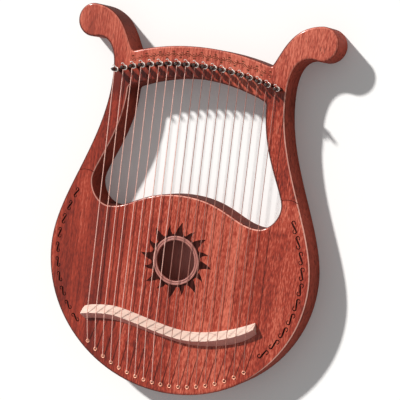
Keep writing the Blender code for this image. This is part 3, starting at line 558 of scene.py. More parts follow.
class Bench:
    """Makes meshes from flat outlines and tubes, carves them, and sets them on the harp."""

    def __init__(self) -> None:
        """Starts with no finishes."""
        self.finishes: dict[str, bpy.types.Material] = {}
        self.pieces: list[bpy.types.Object] = []

    def finish(self, finish: Any) -> bpy.types.Material:
        """Returns a finish's material, made once."""
        if finish.name not in self.finishes:
            self.finishes[finish.name] = finish.made()
        return self.finishes[finish.name]

    def shown(self, name: str, data: bpy.types.ID) -> bpy.types.Object:
        """Links an object of some data to the scene."""
        item = bpy.data.objects.new(name, data)
        bpy.context.scene.collection.objects.link(item)
        return item

    def baked(self, item: bpy.types.Object) -> bpy.types.Mesh:
        """Returns an object's final mesh and removes the object."""
        graph = bpy.context.evaluated_depsgraph_get()
        graph.update()
        mesh = bpy.data.meshes.new_from_object(item.evaluated_get(graph))
        bpy.data.objects.remove(item)
        return mesh

    def plate(
        self, outlines: Sequence[list], low: float, high: float, steps: int = 28
    ) -> bpy.types.Mesh:
        """Makes a closed flat body.

        Args:
            outlines: knots of its edge and of its holes.
            low: lower face's height.
            high: upper face's height.
            steps: points on each Bezier run.

        Returns:
            The mesh, with its doubles merged.
        """
        curve = bpy.data.curves.new("plate", "CURVE")
        curve.dimensions = "2D"
        curve.fill_mode = "BOTH"
        curve.extrude = (high - low) / 2.0
        curve.resolution_u = steps
        for knots in outlines:
            spline = curve.splines.new("BEZIER")
            spline.bezier_points.add(len(knots) - 1)
            spline.use_cyclic_u = True
            for point, (place, handle_in, handle_out) in zip(spline.bezier_points, knots):
                point.co = place.to_3d()
                point.handle_left_type = "VECTOR" if handle_in is None else "FREE"
                point.handle_right_type = "VECTOR" if handle_out is None else "FREE"
                point.handle_left = (handle_in or place).to_3d()
                point.handle_right = (handle_out or place).to_3d()
        mesh = self.baked(self.shown("plate", curve))
        bm = bmesh.new()
        bm.from_mesh(mesh)
        bmesh.ops.remove_doubles(bm, verts=bm.verts, dist=0.005 * MM)
        bmesh.ops.dissolve_limit(bm, angle_limit=math.radians(0.02), verts=bm.verts, edges=bm.edges)
        bmesh.ops.translate(bm, verts=bm.verts, vec=(0.0, 0.0, (low + high) / 2.0))
        bm.to_mesh(mesh)
        bm.free()
        return mesh

    def bevelled(
        self,
        mesh: bpy.types.Mesh,
        width: float,
        segments: int,
        chosen: Callable[[bmesh.types.BMEdge], bool],
        weld: float = 0.005 * MM,
    ) -> bpy.types.Mesh:
        """Rounds the chosen edges of a mesh.

        Args:
            mesh: mesh to change.
            width: width of the rounding.
            segments: steps across it.
            chosen: tells whether an edge is rounded.
            weld: points closer than this are merged afterwards.

        Returns:
            The same mesh.
        """
        bm = bmesh.new()
        bm.from_mesh(mesh)
        bmesh.ops.bevel(
            bm,
            geom=[edge for edge in bm.edges if chosen(edge)],
            offset=width,
            offset_type="OFFSET",
            segments=segments,
            profile=0.5,
            affect="EDGES",
            material=-1,
        )
        bmesh.ops.remove_doubles(bm, verts=bm.verts, dist=weld)
        bm.to_mesh(mesh)
        bm.free()
        return mesh

    def rim_rounded(self, mesh: bpy.types.Mesh, height: float, width: float, segments: int) -> bpy.types.Mesh:
        """Rounds the rims of a flat body with upright walls, by rolling its walls in over both faces.

        Args:
            mesh: flat body to change.
            height: how far the rims reach down the walls.
            width: how far they reach over the faces.
            segments: steps across each rim.

        Returns:
            The same mesh.
        """
        bm = bmesh.new()
        bm.from_mesh(mesh)
        heights = [vert.co.z for vert in bm.verts]
        caps = [face for face in bm.faces if abs(face.normal.z) > 0.5]
        bmesh.ops.delete(bm, geom=caps, context="FACES")
        for level, sign in ((max(heights), 1.0), (min(heights), -1.0)):
            edges = [edge for edge in bm.edges if edge.is_boundary and abs(edge.verts[0].co.z - level) < height]
            self.roll_in(bm, edges, level, sign * height, width, segments)
        bmesh.ops.recalc_face_normals(bm, faces=bm.faces)
        bm.to_mesh(mesh)
        bm.free()
        return mesh

    @staticmethod
    def roll_in(
        bm: bmesh.types.BMesh,
        edges: list[bmesh.types.BMEdge],
        level: float,
        height: float,
        width: float,
        segments: int,
    ) -> None:
        """Extrudes a boundary in over a quarter of an ellipse and closes it.

        Args:
            bm: mesh that holds the boundary.
            edges: edges of the boundary.
            level: height of the face that closes it.
            height: height of the quarter, negative for a lower face.
            width: how far it reaches in.
            segments: steps across it.
        """
        inward: dict[bmesh.types.BMVert, Vector] = {}
        for vert in {vert for edge in edges for vert in edge.verts}:
            walls = [face.normal.xy.normalized() for face in vert.link_faces]
            mean = sum(walls, Vector((0.0, 0.0))).normalized()
            inward[vert] = -mean / max(0.6, mean.dot(walls[0]))
            vert.co.z = level - height
        for step in range(1, segments + 1):
            angle = math.pi / 2.0 * step / segments
            before = math.pi / 2.0 * (step - 1) / segments
            by_place = {tuple(vert.co): vert for vert in inward}
            made = bmesh.ops.extrude_edge_only(bm, edges=edges)["geom"]
            fresh = {item for item in made if isinstance(item, bmesh.types.BMVert)}
            edges = [item for item in made if isinstance(item, bmesh.types.BMEdge) and set(item.verts) <= fresh]
            moved: dict[bmesh.types.BMVert, Vector] = {}
            for vert in fresh:
                direction = inward[by_place[tuple(vert.co)]]
                moved[vert] = direction
                run = width * (math.cos(before) - math.cos(angle))
                vert.co += (direction * run).to_3d()
                vert.co.z = level - height + height * math.sin(angle)
            inward = moved
        bmesh.ops.triangle_fill(bm, use_beauty=True, use_dissolve=False, edges=edges)

    def carved(
        self,
        mesh: bpy.types.Mesh,
        keep: Sequence[bpy.types.Mesh] = (),
        cut: Sequence[bpy.types.Mesh] = (),
        join: Sequence[bpy.types.Mesh] = (),
        crossing: Sequence[bpy.types.Mesh] = (),
    ) -> bpy.types.Mesh:
        """Bounds, joins and cuts a copy of a mesh.

        Args:
            mesh: mesh to start from.
            keep: meshes whose inside is kept.
            cut: meshes that are cut away; what they cut takes their material.
            join: meshes that are added.
            crossing: meshes that are cut away, and whose own parts cross each other.

        Returns:
            The carved mesh.
        """
        item = self.shown("carved", mesh.copy())
        tools = []
        groups = (("INTERSECT", keep), ("UNION", join), ("DIFFERENCE", cut), ("DIFFERENCE", crossing))
        for operation, group in groups:
            for tool_mesh in group:
                tool = self.shown("tool", tool_mesh)
                tool.hide_render = True
                tools.append(tool)
                step = item.modifiers.new(operation.title(), "BOOLEAN")
                step.operation = operation
                step.solver = "EXACT"
                step.material_mode = "TRANSFER"
                step.use_self = group is crossing
                step.object = tool
        made = self.baked(item)
        for tool in tools:
            bpy.data.objects.remove(tool)
        return made

    def tube(
        self, points: Sequence[Vector], radius: float, sides: int, ends: Sequence[float] = ()
    ) -> bpy.types.Mesh:
        """Makes a closed round tube along points.

        Args:
            points: points on its middle line.
            radius: its radius.
            sides: sides of its section, a multiple of four.
            ends: shares of the radius for each point; one for all where left out.

        Returns:
            The mesh.
        """
        curve = bpy.data.curves.new("tube", "CURVE")
        curve.dimensions = "3D"
        curve.bevel_depth = radius
        curve.bevel_resolution = sides // 2 - 2
        curve.use_fill_caps = True
        spline = curve.splines.new("POLY")
        spline.points.add(len(points) - 1)
        for index, (point, place) in enumerate(zip(spline.points, points)):
            point.co = (*place, 1.0)
            point.radius = ends[index] if ends else 1.0
        mesh = self.baked(self.shown("tube", curve))
        bm = bmesh.new()
        bm.from_mesh(mesh)
        bmesh.ops.remove_doubles(bm, verts=bm.verts, dist=0.001 * MM)
        bmesh.ops.recalc_face_normals(bm, faces=bm.faces)
        bm.to_mesh(mesh)
        bm.free()
        return mesh

    def turned(self, profile: Sequence[Place], steps: int, place: Vector) -> bpy.types.Mesh:
        """Spins a closed profile of radius and height round an upright axis.

        Args:
            profile: radius and height of each corner.
            steps: steps of the full turn.
            place: where the axis meets height 0.

        Returns:
            The mesh.
        """
        bm = bmesh.new()
        verts = [bm.verts.new((radius, 0.0, height)) for radius, height in profile]
        for first, last in zip(verts, verts[1:] + verts[:1]):
            if first.co.xy.length > 1e-7 or last.co.xy.length > 1e-7:
                bm.edges.new((first, last))
        bmesh.ops.spin(
            bm,
            geom=bm.verts[:] + bm.edges[:],
            cent=(0.0, 0.0, 0.0),
            axis=(0.0, 0.0, 1.0),
            angle=math.tau,
            steps=steps,
            use_merge=True,
        )
        bmesh.ops.remove_doubles(bm, verts=bm.verts, dist=0.001 * MM)
        bmesh.ops.recalc_face_normals(bm, faces=bm.faces)
        bmesh.ops.translate(bm, verts=bm.verts, vec=place)
        mesh = bpy.data.meshes.new("turned")
        bm.to_mesh(mesh)
        bm.free()
        return mesh

    def joined(self, meshes: Sequence[bpy.types.Mesh]) -> bpy.types.Mesh:
        """Puts several meshes that stand apart into one."""
        bm = bmesh.new()
        for mesh in meshes:
            bm.from_mesh(mesh)
        whole = bpy.data.meshes.new("joined")
        bm.to_mesh(whole)
        bm.free()
        return whole

    def set_piece(
        self,
        name: str,
        mesh: bpy.types.Mesh,
        finish: Any,
        stands_for: Sequence[str] = (),
        body: str = HARP_BODY,
        angle: float = 32.0,
        flat: bool = False,
    ) -> bpy.types.Object:
        """Names, dresses and places a finished piece, and lets it ride on its body.

        Args:
            name: the piece's name.
            mesh: its mesh, counted from the tail's edge.
            finish: its finish.
            stands_for: nodes that it replaces.
            body: body that it rides on.
            angle: edges sharper than this stay sharp.
            flat: whether its large flat faces keep a flat look beside their rounded rims.

        Returns:
            The piece.
        """
        mesh.name = name
        mesh.transform(Matrix.Translation((0.0, -MIDDLE_Y, 0.0)))
        if not any(mesh.materials):
            mesh.materials.clear()
            mesh.materials.append(self.finish(finish))
        mesh.shade_smooth()
        mesh.set_sharp_from_angle(angle=math.radians(angle))
        piece = self.shown(name, mesh)
        if flat:
            faces = piece.modifiers.new("Flat faces", "WEIGHTED_NORMAL")
            faces.keep_sharp = True
        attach(piece, body)
        if stands_for:
            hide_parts(*stands_for)
        self.pieces.append(piece)
        log.info("%s: %d faces", name, len(mesh.polygons))
        return piece

    def repaint(self, nodes: dict[str, bpy.types.Object], names: Sequence[str], finish: Any) -> None:
        """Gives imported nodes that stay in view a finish."""
        for name in names:
            mesh = nodes[name].data
            mesh.materials.clear()
            mesh.materials.append(self.finish(finish))


def sharp_turn(edge: bmesh.types.BMEdge, degrees: float = 40.0) -> bool:
    """Tells whether an edge turns by more than some degrees."""
    return edge.calc_face_angle(0.0) > math.radians(degrees)


def upright(edge: bmesh.types.BMEdge) -> bool:
    """Tells whether an edge runs along Z."""
    run = edge.verts[1].co - edge.verts[0].co
    return abs(run.z) > 0.99 * run.length


def arch_drop(x: float, rise: float, half_span: float) -> float:
    """Returns how far a round arch lies below its crown at x."""
    radius = (half_span**2 + rise**2) / (2.0 * rise)
    return radius - math.sqrt(radius**2 - x**2)


def walk(points: Sequence[Vector], share: float) -> tuple[Vector, Vector]:
    """Returns the place and direction at a share of a path's length."""
    lengths = [(b - a).length for a, b in zip(points, points[1:])]
    left = share * sum(lengths)
    for start, end, length in zip(points, points[1:], lengths):
        if left <= length or end is points[-1]:
            along = (end - start).normalized()
            return start + along * left, along
        left -= length
    return points[-1], (points[-1] - points[-2]).normalized()


def side_of(index: int) -> float:
    """Returns a string's or a pin's place from the middle of the row, counted in pitches."""
    return index - (STRING_COUNT - 1) / 2.0


@dataclass
class StringPlan:
    """Where the strings are held: the arched row of pins and the curved row of ferrules."""

    pin_pitch: float = 12.67 * MM
    pin_offset: float = 1.0 * MM
    pin_row_y: float = 435.7 * MM
    pin_row_rise: float = 17.8 * MM
    pin_radius: float = 2.5 * MM
    ferrule_pitch: float = 12.65 * MM
    ferrule_reach: float = 176.0 * MM
    ferrule_depth: float = 161.0 * MM
    belly_y: float = 172.0 * MM
    bass: float = 1.1 * MM
    treble: float = 0.8 * MM

    def pin(self, index: int) -> Vector:
        """Returns where a pin's axis meets the front face."""
        x = side_of(index) * self.pin_pitch
        half_span = side_of(STRING_COUNT - 1) * self.pin_pitch
        return Vector((x + self.pin_offset, self.pin_row_y - arch_drop(x, self.pin_row_rise, half_span), THICKNESS))

    def ferrule(self, index: int) -> Vector:
        """Returns where a string goes into the soundboard."""
        x = side_of(index) * self.ferrule_pitch
        depth = self.ferrule_depth * math.sqrt(1.0 - (x / self.ferrule_reach) ** 2)
        return Vector((x, self.belly_y - depth, THICKNESS))

    def diameter(self, index: int) -> float:
        """Returns a string's diameter."""
        return self.bass + index / (STRING_COUNT - 1) * (self.treble - self.bass)


@dataclass
class HarpBody:
    """The wooden body: frame with horns and crossbar, soundboard, back board and top rail."""

    plan: StringPlan
    plate_height: float = 3.5 * MM
    joint: float = 0.12 * MM
    seam: float = 0.7 * MM
    rim: float = 2.4 * MM
    rim_width: float = 3.4 * MM
    rim_segments: int = 6
    corner: float = 4.0 * MM
    belly_half: float = 187.0 * MM
    belly_y: float = 172.0 * MM
    belly_pull: float = 72.0 * MM
    waist_half: float = 123.5 * MM
    waist_y: float = 412.0 * MM
    waist_pull: float = 94.0 * MM
    horn: Place = (161.5 * MM, 480.5 * MM)
    horn_radius: float = 22.3 * MM
    throat_angle: float = math.radians(258)
    crown_angle: float = math.radians(96)
    neck_pull: float = 45.0 * MM
    throat_pull: float = 14.7 * MM
    crown_pull: float = 42.0 * MM
    root_angle: float = math.radians(236)
    root_pull: float = 22.0 * MM
    bar_top_y: float = 460.0 * MM
    bar_top_rise: float = 15.0 * MM
    bar_top_half: float = 98.5 * MM
    bar_bottom_y: float = 418.5 * MM
    bar_bottom_rise: float = 20.0 * MM
    head_x: float = 98.0 * MM
    head_pull: float = 65.0 * MM
    arm_root: Place = (135.2 * MM, 268.0 * MM)
    arm_root_pull: float = 20.0 * MM
    valley: Place = (107.0 * MM, 236.6 * MM)
    valley_side_pull: float = 15.5 * MM
    valley_pull: float = 33.0 * MM
    peak_y: float = 264.8 * MM
    peak_pull: float = 58.0 * MM
    wall: float = 12.0 * MM
    tail_wall: float = 24.0 * MM
    rail_depth: float = 14.0 * MM
    rail_half: float = 128.0 * MM
    shoulder_pull: float = 38.0 * MM
    seam_y: float = 276.5 * MM
    seam_rise: float = 2.8 * MM
    seam_inner: float = 134.0 * MM
    seam_outer: float = 157.0 * MM
    hole_y: float = 178.0 * MM
    hole_radius: float = 27.0 * MM
    ring_width: float = 5.6 * MM
    ring_seat: float = 1.2 * MM
    pin_hole_depth: float = 17.5 * MM
    string_hole_radius: float = 1.2 * MM
    ball_radius: float = 3.0 * MM
    reach: float = 20.0 * MM

    def outer(self) -> list:
        """Draws the outer edge: tail, belly, waist, horn and the top of the crossbar."""
        outline = Outline((0.0, 0.0))
        outline.curve(
            (QUARTER * self.belly_half, 0.0),
            (self.belly_half, self.belly_y * (1.0 - QUARTER)),
            (self.belly_half, self.belly_y),
        )
        outline.curve(
            (self.belly_half, self.belly_y + self.belly_pull),
            (self.waist_half, self.waist_y - self.waist_pull),
            (self.waist_half, self.waist_y),
        )
        horn = Vector(self.horn)
        out = Vector((math.cos(self.throat_angle), math.sin(self.throat_angle)))
        throat = horn + self.horn_radius * out
        outline.curve(
            (self.waist_half, self.waist_y + self.neck_pull),
            throat - self.throat_pull * out.orthogonal(),
            throat,
        )
        outline.arc(horn, self.horn_radius, self.throat_angle - math.tau, self.crown_angle, 2)
        crown = outline.knots[-1][0]
        along = Vector((-math.sin(self.crown_angle), math.cos(self.crown_angle)))
        root = Vector((self.bar_top_half, self.bar_top_y - self.bar_top_rise))
        root_along = Vector((math.cos(self.root_angle), math.sin(self.root_angle)))
        outline.curve(crown + self.crown_pull * along, root - self.root_pull * root_along, root)
        radius = (self.bar_top_half**2 + self.bar_top_rise**2) / (2.0 * self.bar_top_rise)
        foot = math.acos(self.bar_top_half / radius)
        outline.arc((0.0, self.bar_top_y - radius), radius, foot, math.pi / 2.0, 1)
        return outline.mirrored()

    def top_edge(self, outline: Outline, lower: float) -> Outline:
        """Adds the box's top edge from a valley to the peak, lowered for the hollow beneath it."""
        valley_x, valley_y = self.valley
        return outline.curve(
            (valley_x - self.valley_pull, valley_y - lower),
            (self.peak_pull, self.peak_y - lower),
            (0.0, self.peak_y - lower),
        )

    def opening(self) -> list:
        """Draws the opening between the arms."""
        outline = Outline((0.0, self.bar_bottom_y))
        radius = (self.head_x**2 + self.bar_bottom_rise**2) / (2.0 * self.bar_bottom_rise)
        foot = math.acos(self.head_x / radius)
        outline.arc((0.0, self.bar_bottom_y - radius), radius, math.pi / 2.0, foot, 1)
        root_x, root_y = self.arm_root
        valley_x, valley_y = self.valley
        outline.curve(
            (self.head_x, self.bar_bottom_y - self.bar_bottom_rise - self.head_pull),
            (root_x, root_y + self.arm_root_pull),
            (root_x, root_y),
        )
        outline.curve(
            (root_x, root_y - self.valley_side_pull),
            (valley_x + self.valley_side_pull, valley_y),
            (valley_x, valley_y),
        )
        return self.top_edge(outline, 0.0).mirrored()

    def hollow(self) -> list:
        """Draws the hollow of the box, inside the walls, the tail block and the top rail."""
        half = self.belly_half - self.wall
        depth = self.belly_y - self.tail_wall
        valley_x, valley_y = self.valley
        outline = Outline((0.0, self.tail_wall))
        outline.curve(
            (QUARTER * half, self.tail_wall), (half, self.belly_y - QUARTER * depth), (half, self.belly_y)
        )
        outline.curve(
            (half, self.belly_y + self.shoulder_pull),
            (valley_x + self.shoulder_pull, valley_y - self.rail_depth),
            (valley_x, valley_y - self.rail_depth),
        )
        return self.top_edge(outline, self.rail_depth).mirrored()

    def plate_region(self, grow: float) -> list:
        """Draws the region that a plate covers, up to the arched seams on the arms."""
        seam_y = self.seam_y + grow
        far = self.belly_half + self.reach
        bow = 4.0 / 3.0 * self.seam_rise
        quarter = (self.seam_outer - self.seam_inner) / 4.0
        outline = Outline((0.0, -self.reach)).line((far, -self.reach)).line((far, seam_y))
        outline.line((self.seam_outer, seam_y))
        outline.curve(
            (self.seam_outer - quarter, seam_y + bow),
            (self.seam_inner + quarter, seam_y + bow),
            (self.seam_inner, seam_y),
        )
        return outline.line((0.0, seam_y)).mirrored()

    def rods(
        self, bench: Bench, centres: Sequence[Vector], low: float, high: float, radius: float, sides: int = 32
    ) -> bpy.types.Mesh:
        """Makes upright rods that stand apart, as one cutter."""
        profile = [(0.0, low), (radius, low), (radius, high), (0.0, high)]
        return bench.joined([bench.turned(profile, sides, Vector((*centre.xy, 0.0))) for centre in centres])

    def blank(self, bench: Bench) -> bpy.types.Mesh:
        """Makes the whole body in one thickness, with rounded rims."""
        mesh = bench.plate([self.outer(), self.opening()], 0.0, THICKNESS)
        bench.bevelled(mesh, self.corner, 6, lambda edge: upright(edge) and sharp_turn(edge, 30.0), 0.25 * MM)
        return bench.rim_rounded(mesh, self.rim, self.rim_width, self.rim_segments)

    def build(self, bench: Bench, ornament: "Ornament") -> None:
        """Carves the frame, the two plates and the rail out of the blank.

        Args:
            bench: maker of the meshes.
            ornament: engraver of the soundboard and the crossbar.
        """
        blank = self.blank(bench)
        blank.materials.append(bench.finish(Mahogany()))
        top = THICKNESS
        grown = self.plate_region(self.seam)
        pins = [self.plan.pin(index) for index in range(STRING_COUNT)]
        ferrules = [self.plan.ferrule(index) for index in range(STRING_COUNT)]
        front_slab = bench.plate([grown], top - self.plate_height - self.joint, top + self.reach)
        back_slab = bench.plate([grown], -self.reach, self.plate_height + self.joint)
        hollow = bench.plate([self.hollow()], -self.reach, top + self.reach)
        pin_holes = self.rods(
            bench, pins, top - self.pin_hole_depth, top + self.reach, self.plan.pin_radius + 0.12 * MM
        )
        walls = bench.carved(blank, cut=[front_slab, back_slab, hollow, pin_holes])
        frame = bench.carved(walls, crossing=[ornament.band_cutter(bench)])
        bench.set_piece(
            "harp_frame",
            frame,
            None,
            ("left_arm", "right_arm", "crossbar", "box_top_rail", "tail_block"),
            flat=True,
        )
        region = self.plate_region(0.0)
        middle = [Vector((0.0, self.hole_y, 0.0))]
        hole = self.rods(bench, middle, -self.reach, top + self.reach, self.hole_radius, 128)
        seat_radius = self.hole_radius + self.ring_width + 0.1 * MM
        seat = self.rods(bench, middle, top - self.ring_seat, top + self.reach, seat_radius, 128)
        holes = self.rods(bench, ferrules, -self.reach, top + self.reach, self.string_hole_radius, 16)
        slab = bench.plate([region], top - self.plate_height, top + self.reach)
        soundboard = bench.carved(
            blank, keep=[slab], cut=[ornament.soundboard_cutter(bench), ornament.sun_cutter(bench), hole, seat, holes]
        )
        bench.set_piece("soundboard_front", soundboard, None, ("soundboard",), flat=True)
        under = bench.plate([region], -self.reach, self.plate_height)
        bare = PaleWood("Bare mahogany", (0.80, 0.27, 0.22), (0.60, 0.18, 0.145), (0.32, 0.09, 0.07), coat=0.0, grain=Axis.UP)
        under.materials.append(bench.finish(bare))
        pockets = self.rods(bench, ferrules, -self.reach, 3.0 * MM, self.ball_radius, 24)
        back = bench.carved(blank, keep=[under], cut=[pockets])
        bench.set_piece("back_board_outer", back, None, ("back_board",), flat=True)


@dataclass
class Ornament:
    """Engraving: scroll borders on the soundboard, a sun round the sound hole and a band on the crossbar."""

    depth: float = 0.35 * MM
    stroke: float = 0.92 * MM
    border_units: int = 10
    border_height: float = 8.2 * MM
    left_size: float = 0.82
    sun_centre: Place = (0.0, 178.0 * MM)
    sun_base: float = 35.3 * MM
    long_ray: float = 51.8 * MM
    short_ray: float = 47.5 * MM
    long_half_angle: float = math.radians(9.5)
    short_half_angle: float = math.radians(6.6)
    ray_pairs: int = 8
    sun_turn: float = math.radians(88.5)
    long_bend: float = math.radians(-2.7)
    short_bend: float = math.radians(-5.6)
    band_units: int = 21
    band_y: float = 448.6 * MM
    band_rise: float = 15.5 * MM
    band_half: float = 101.0 * MM
    band_height: float = 3.4 * MM
    border_path: tuple[Place, ...] = (
        (152.5, 255.5),
        (159.5, 240.0),
        (166.5, 222.0),
        (172.0, 204.0),
        (175.2, 186.0),
        (175.4, 168.0),
        (172.8, 148.0),
        (167.0, 126.5),
        (157.5, 105.0),
        (145.0, 86.5),
        (129.5, 70.5),
    )

    def path(self, sign: float) -> list[Vector]:
        """Returns close points on a border's middle line, on the right or the left."""
        knots = [Vector((sign * x * MM, y * MM)) for x, y in self.border_path]
        points: list[Vector] = []
        for index in range(len(knots) - 1):
            before = knots[max(index - 1, 0)]
            first, last = knots[index], knots[index + 1]
            after = knots[min(index + 2, len(knots) - 1)]
            run = interpolate_bezier(first, first + (last - before) / 6.0, last - (after - first) / 6.0, last, 12)
            points += run if index == 0 else run[1:]
        return points

    @staticmethod
    def scroll(steps: int = 20) -> list[Place]:
        """Draws an S with curled ends, from about -0.4 to 0.4 along and -1 to 1 across."""
        curl = []
        for step in range(steps + 1):
            share = step / steps
            angle = math.radians(-75.0 + 225.0 * share)
            radius = 1.0 - 0.42 * share
            curl.append((0.25 + 0.17 * radius * math.cos(angle), -0.34 - 0.68 * radius * math.sin(angle)))
        first = curl[0]
        stem = [(first[0] * step / 5.0, first[1] * step / 5.0) for step in range(-4, 5)]
        other = [(-along, -across) for along, across in curl]
        return other[::-1] + stem + curl

    def groove(
        self, bench: Bench, line: Sequence[Vector], stroke: float, swelling: bool = False
    ) -> bpy.types.Mesh:
        """Makes the cutter of one engraved stroke.

        Args:
            bench: maker of the mesh.
            line: points along the stroke.
            stroke: half of its width.
            swelling: whether it swells in its middle and ends in dots, instead of tapered ends.

        Returns:
            The mesh.
        """
        count = len(line)
        taper = []
        for index in range(count):
            to_end = min(index, count - 1 - index) / count
            if swelling:
                middle = math.exp(-(((to_end - 0.5) / 0.17) ** 2))
                taper.append(0.60 + 0.75 * middle + 0.60 * math.exp(-((to_end / 0.035) ** 2)))
            else:
                taper.append(min(1.0, 0.35 + 4.0 * to_end))
        return bench.tube([point.to_3d() + Vector((0.0, 0.0, THICKNESS)) for point in line], stroke, 6, taper)

    def burnt(
        self, bench: Bench, meshes: Sequence[bpy.types.Mesh], finish: Burnt = Burnt()
    ) -> bpy.types.Mesh:
        """Joins cutters into one that leaves burnt wood."""
        whole = bench.joined(meshes)
        whole.materials.clear()
        whole.materials.append(bench.finish(finish))
        return whole

    def soundboard_cutter(self, bench: Bench) -> bpy.types.Mesh:
        """Makes the cutter of the two scroll borders."""
        strokes = []
        for sign in (-1.0, 1.0):
            points = self.path(sign)
            for unit in range(self.border_units):
                line = []
                size = 1.0 if sign > 0.0 else self.left_size
                for along, across in self.scroll():
                    place, run = walk(points, (unit + 0.5 + along * size) / self.border_units)
                    out = Vector((-run.y, run.x)) * sign
                    line.append(place + out * across * size * self.border_height / 2.0)
                strokes.append(self.groove(bench, line, self.stroke, swelling=True))
        return self.burnt(bench, strokes)

    def sun_cutter(self, bench: Bench) -> bpy.types.Mesh:
        """Makes the cutter of the sun: a disc with long and short rays that bend at their tips."""
        middle = Vector(self.sun_centre)
        count = 2 * self.ray_pairs

        def at(radius: float, angle: float) -> Vector:
            """Returns a point about the sun's middle."""
            return middle + radius * Vector((math.cos(angle), math.sin(angle)))

        outline: Outline | None = None
        for index in range(count):
            long_one = index % 2 == 0
            centre = self.sun_turn + index * math.tau / count
            half = self.long_half_angle if long_one else self.short_half_angle
            tip_radius = self.long_ray if long_one else self.short_ray
            bend = self.long_bend if long_one else self.short_bend
            start = at(self.sun_base, centre - half)
            tip = at(tip_radius, centre + bend)
            end = at(self.sun_base, centre + half)
            if outline is None:
                outline = Outline(start)
            else:
                outline.line(start)
            low = self.sun_base + 0.30 * (tip_radius - self.sun_base)
            high = self.sun_base + 0.66 * (tip_radius - self.sun_base)
            outline.curve(at(low, centre - 0.42 * half), at(high, centre - 0.30 * half + 0.2 * bend), tip)
            outline.curve(at(high, centre + 0.26 * half), at(low, centre + 0.72 * half), end)
        assert outline is not None
        mesh = bench.plate([outline.knots], THICKNESS - self.depth, THICKNESS + 5.0 * MM, 8)
        return self.burnt(bench, [mesh])

    def band_cutter(self, bench: Bench) -> bpy.types.Mesh:
        """Makes the cutter of the vine on the crossbar: a waving stem with a curl in each wave."""
        radius = (self.band_half**2 + self.band_rise**2) / (2.0 * self.band_rise)
        centre = Vector((1.0 * MM, self.band_y - radius))
        half_angle = math.asin(self.band_half / radius)

        def at(share: float, across: float) -> Vector:
            """Returns a point of the band by its share of the length and its height."""
            angle = half_angle * (1.0 - 2.0 * share)
            out = Vector((math.sin(-angle), math.cos(angle)))
            return centre + (radius + across * self.band_height) * out

        strokes = []
        steps = 10
        stem = []
        for step in range(self.band_units * steps + 1):
            phase = step / steps
            stem.append(at(phase / self.band_units, 0.50 * math.sin(math.pi * phase)))
        strokes.append(self.groove(bench, stem, 0.42 * MM))
        for unit in range(self.band_units):
            side = 1.0 if unit % 2 == 0 else -1.0
            curl = []
            for step in range(15):
                share = step / 14
                angle = math.radians(-90.0 + 300.0 * share)
                size = 1.0 - 0.62 * share
                along = unit + 0.5 + 0.40 * size * math.cos(angle)
                across = side * (-0.08 + 0.52 * size * math.sin(angle))
                curl.append(at(along / self.band_units, across - 0.30 * side))
            strokes.append(self.groove(bench, curl, 0.44 * MM))
            for lift in (0.95, 1.25):
                leaf = []
                for step in range(5):
                    along = unit + 0.28 + 0.44 * step / 4.0
                    leaf.append(at(along / self.band_units, side * (lift + 0.16 * math.sin(math.pi * step / 4.0))))
                strokes.append(self.groove(bench, leaf, 0.40 * MM))
        return self.burnt(bench, strokes, Burnt("Light engraving", (0.060, 0.018, 0.010), (0.135, 0.052, 0.024)))


@dataclass
class Rosette:
    """The turned ring round the sound hole: two beads with a groove between them."""

    centre: Place = (0.0, 178.0 * MM)
    inner: float = 27.0 * MM
    outer: float = 32.6 * MM
    foot: float = THICKNESS - 1.15 * MM
    crest: float = THICKNESS + 1.0 * MM
    groove: float = 0.45 * MM
    steps: int = 128

    def build(self, bench: Bench) -> None:
        """Turns the ring."""
        middle = (self.inner + self.outer) / 2.0
        half = (self.outer - self.inner) / 4.0
        profile: list[Place] = [(self.inner, self.foot), (self.outer, self.foot)]
        for centre in (middle + half, middle - half):
            for step in range(9):
                angle = math.pi * step / 8.0
                height = self.crest - self.groove + self.groove * math.sin(angle)
                profile.append((centre + 0.94 * half * math.cos(angle), height))
        mesh = bench.turned(profile, self.steps, Vector((*self.centre, 0.0)))
        bench.set_piece("rosette_ring", mesh, RingWood(), ("sound_hole_ring",), angle=50.0)


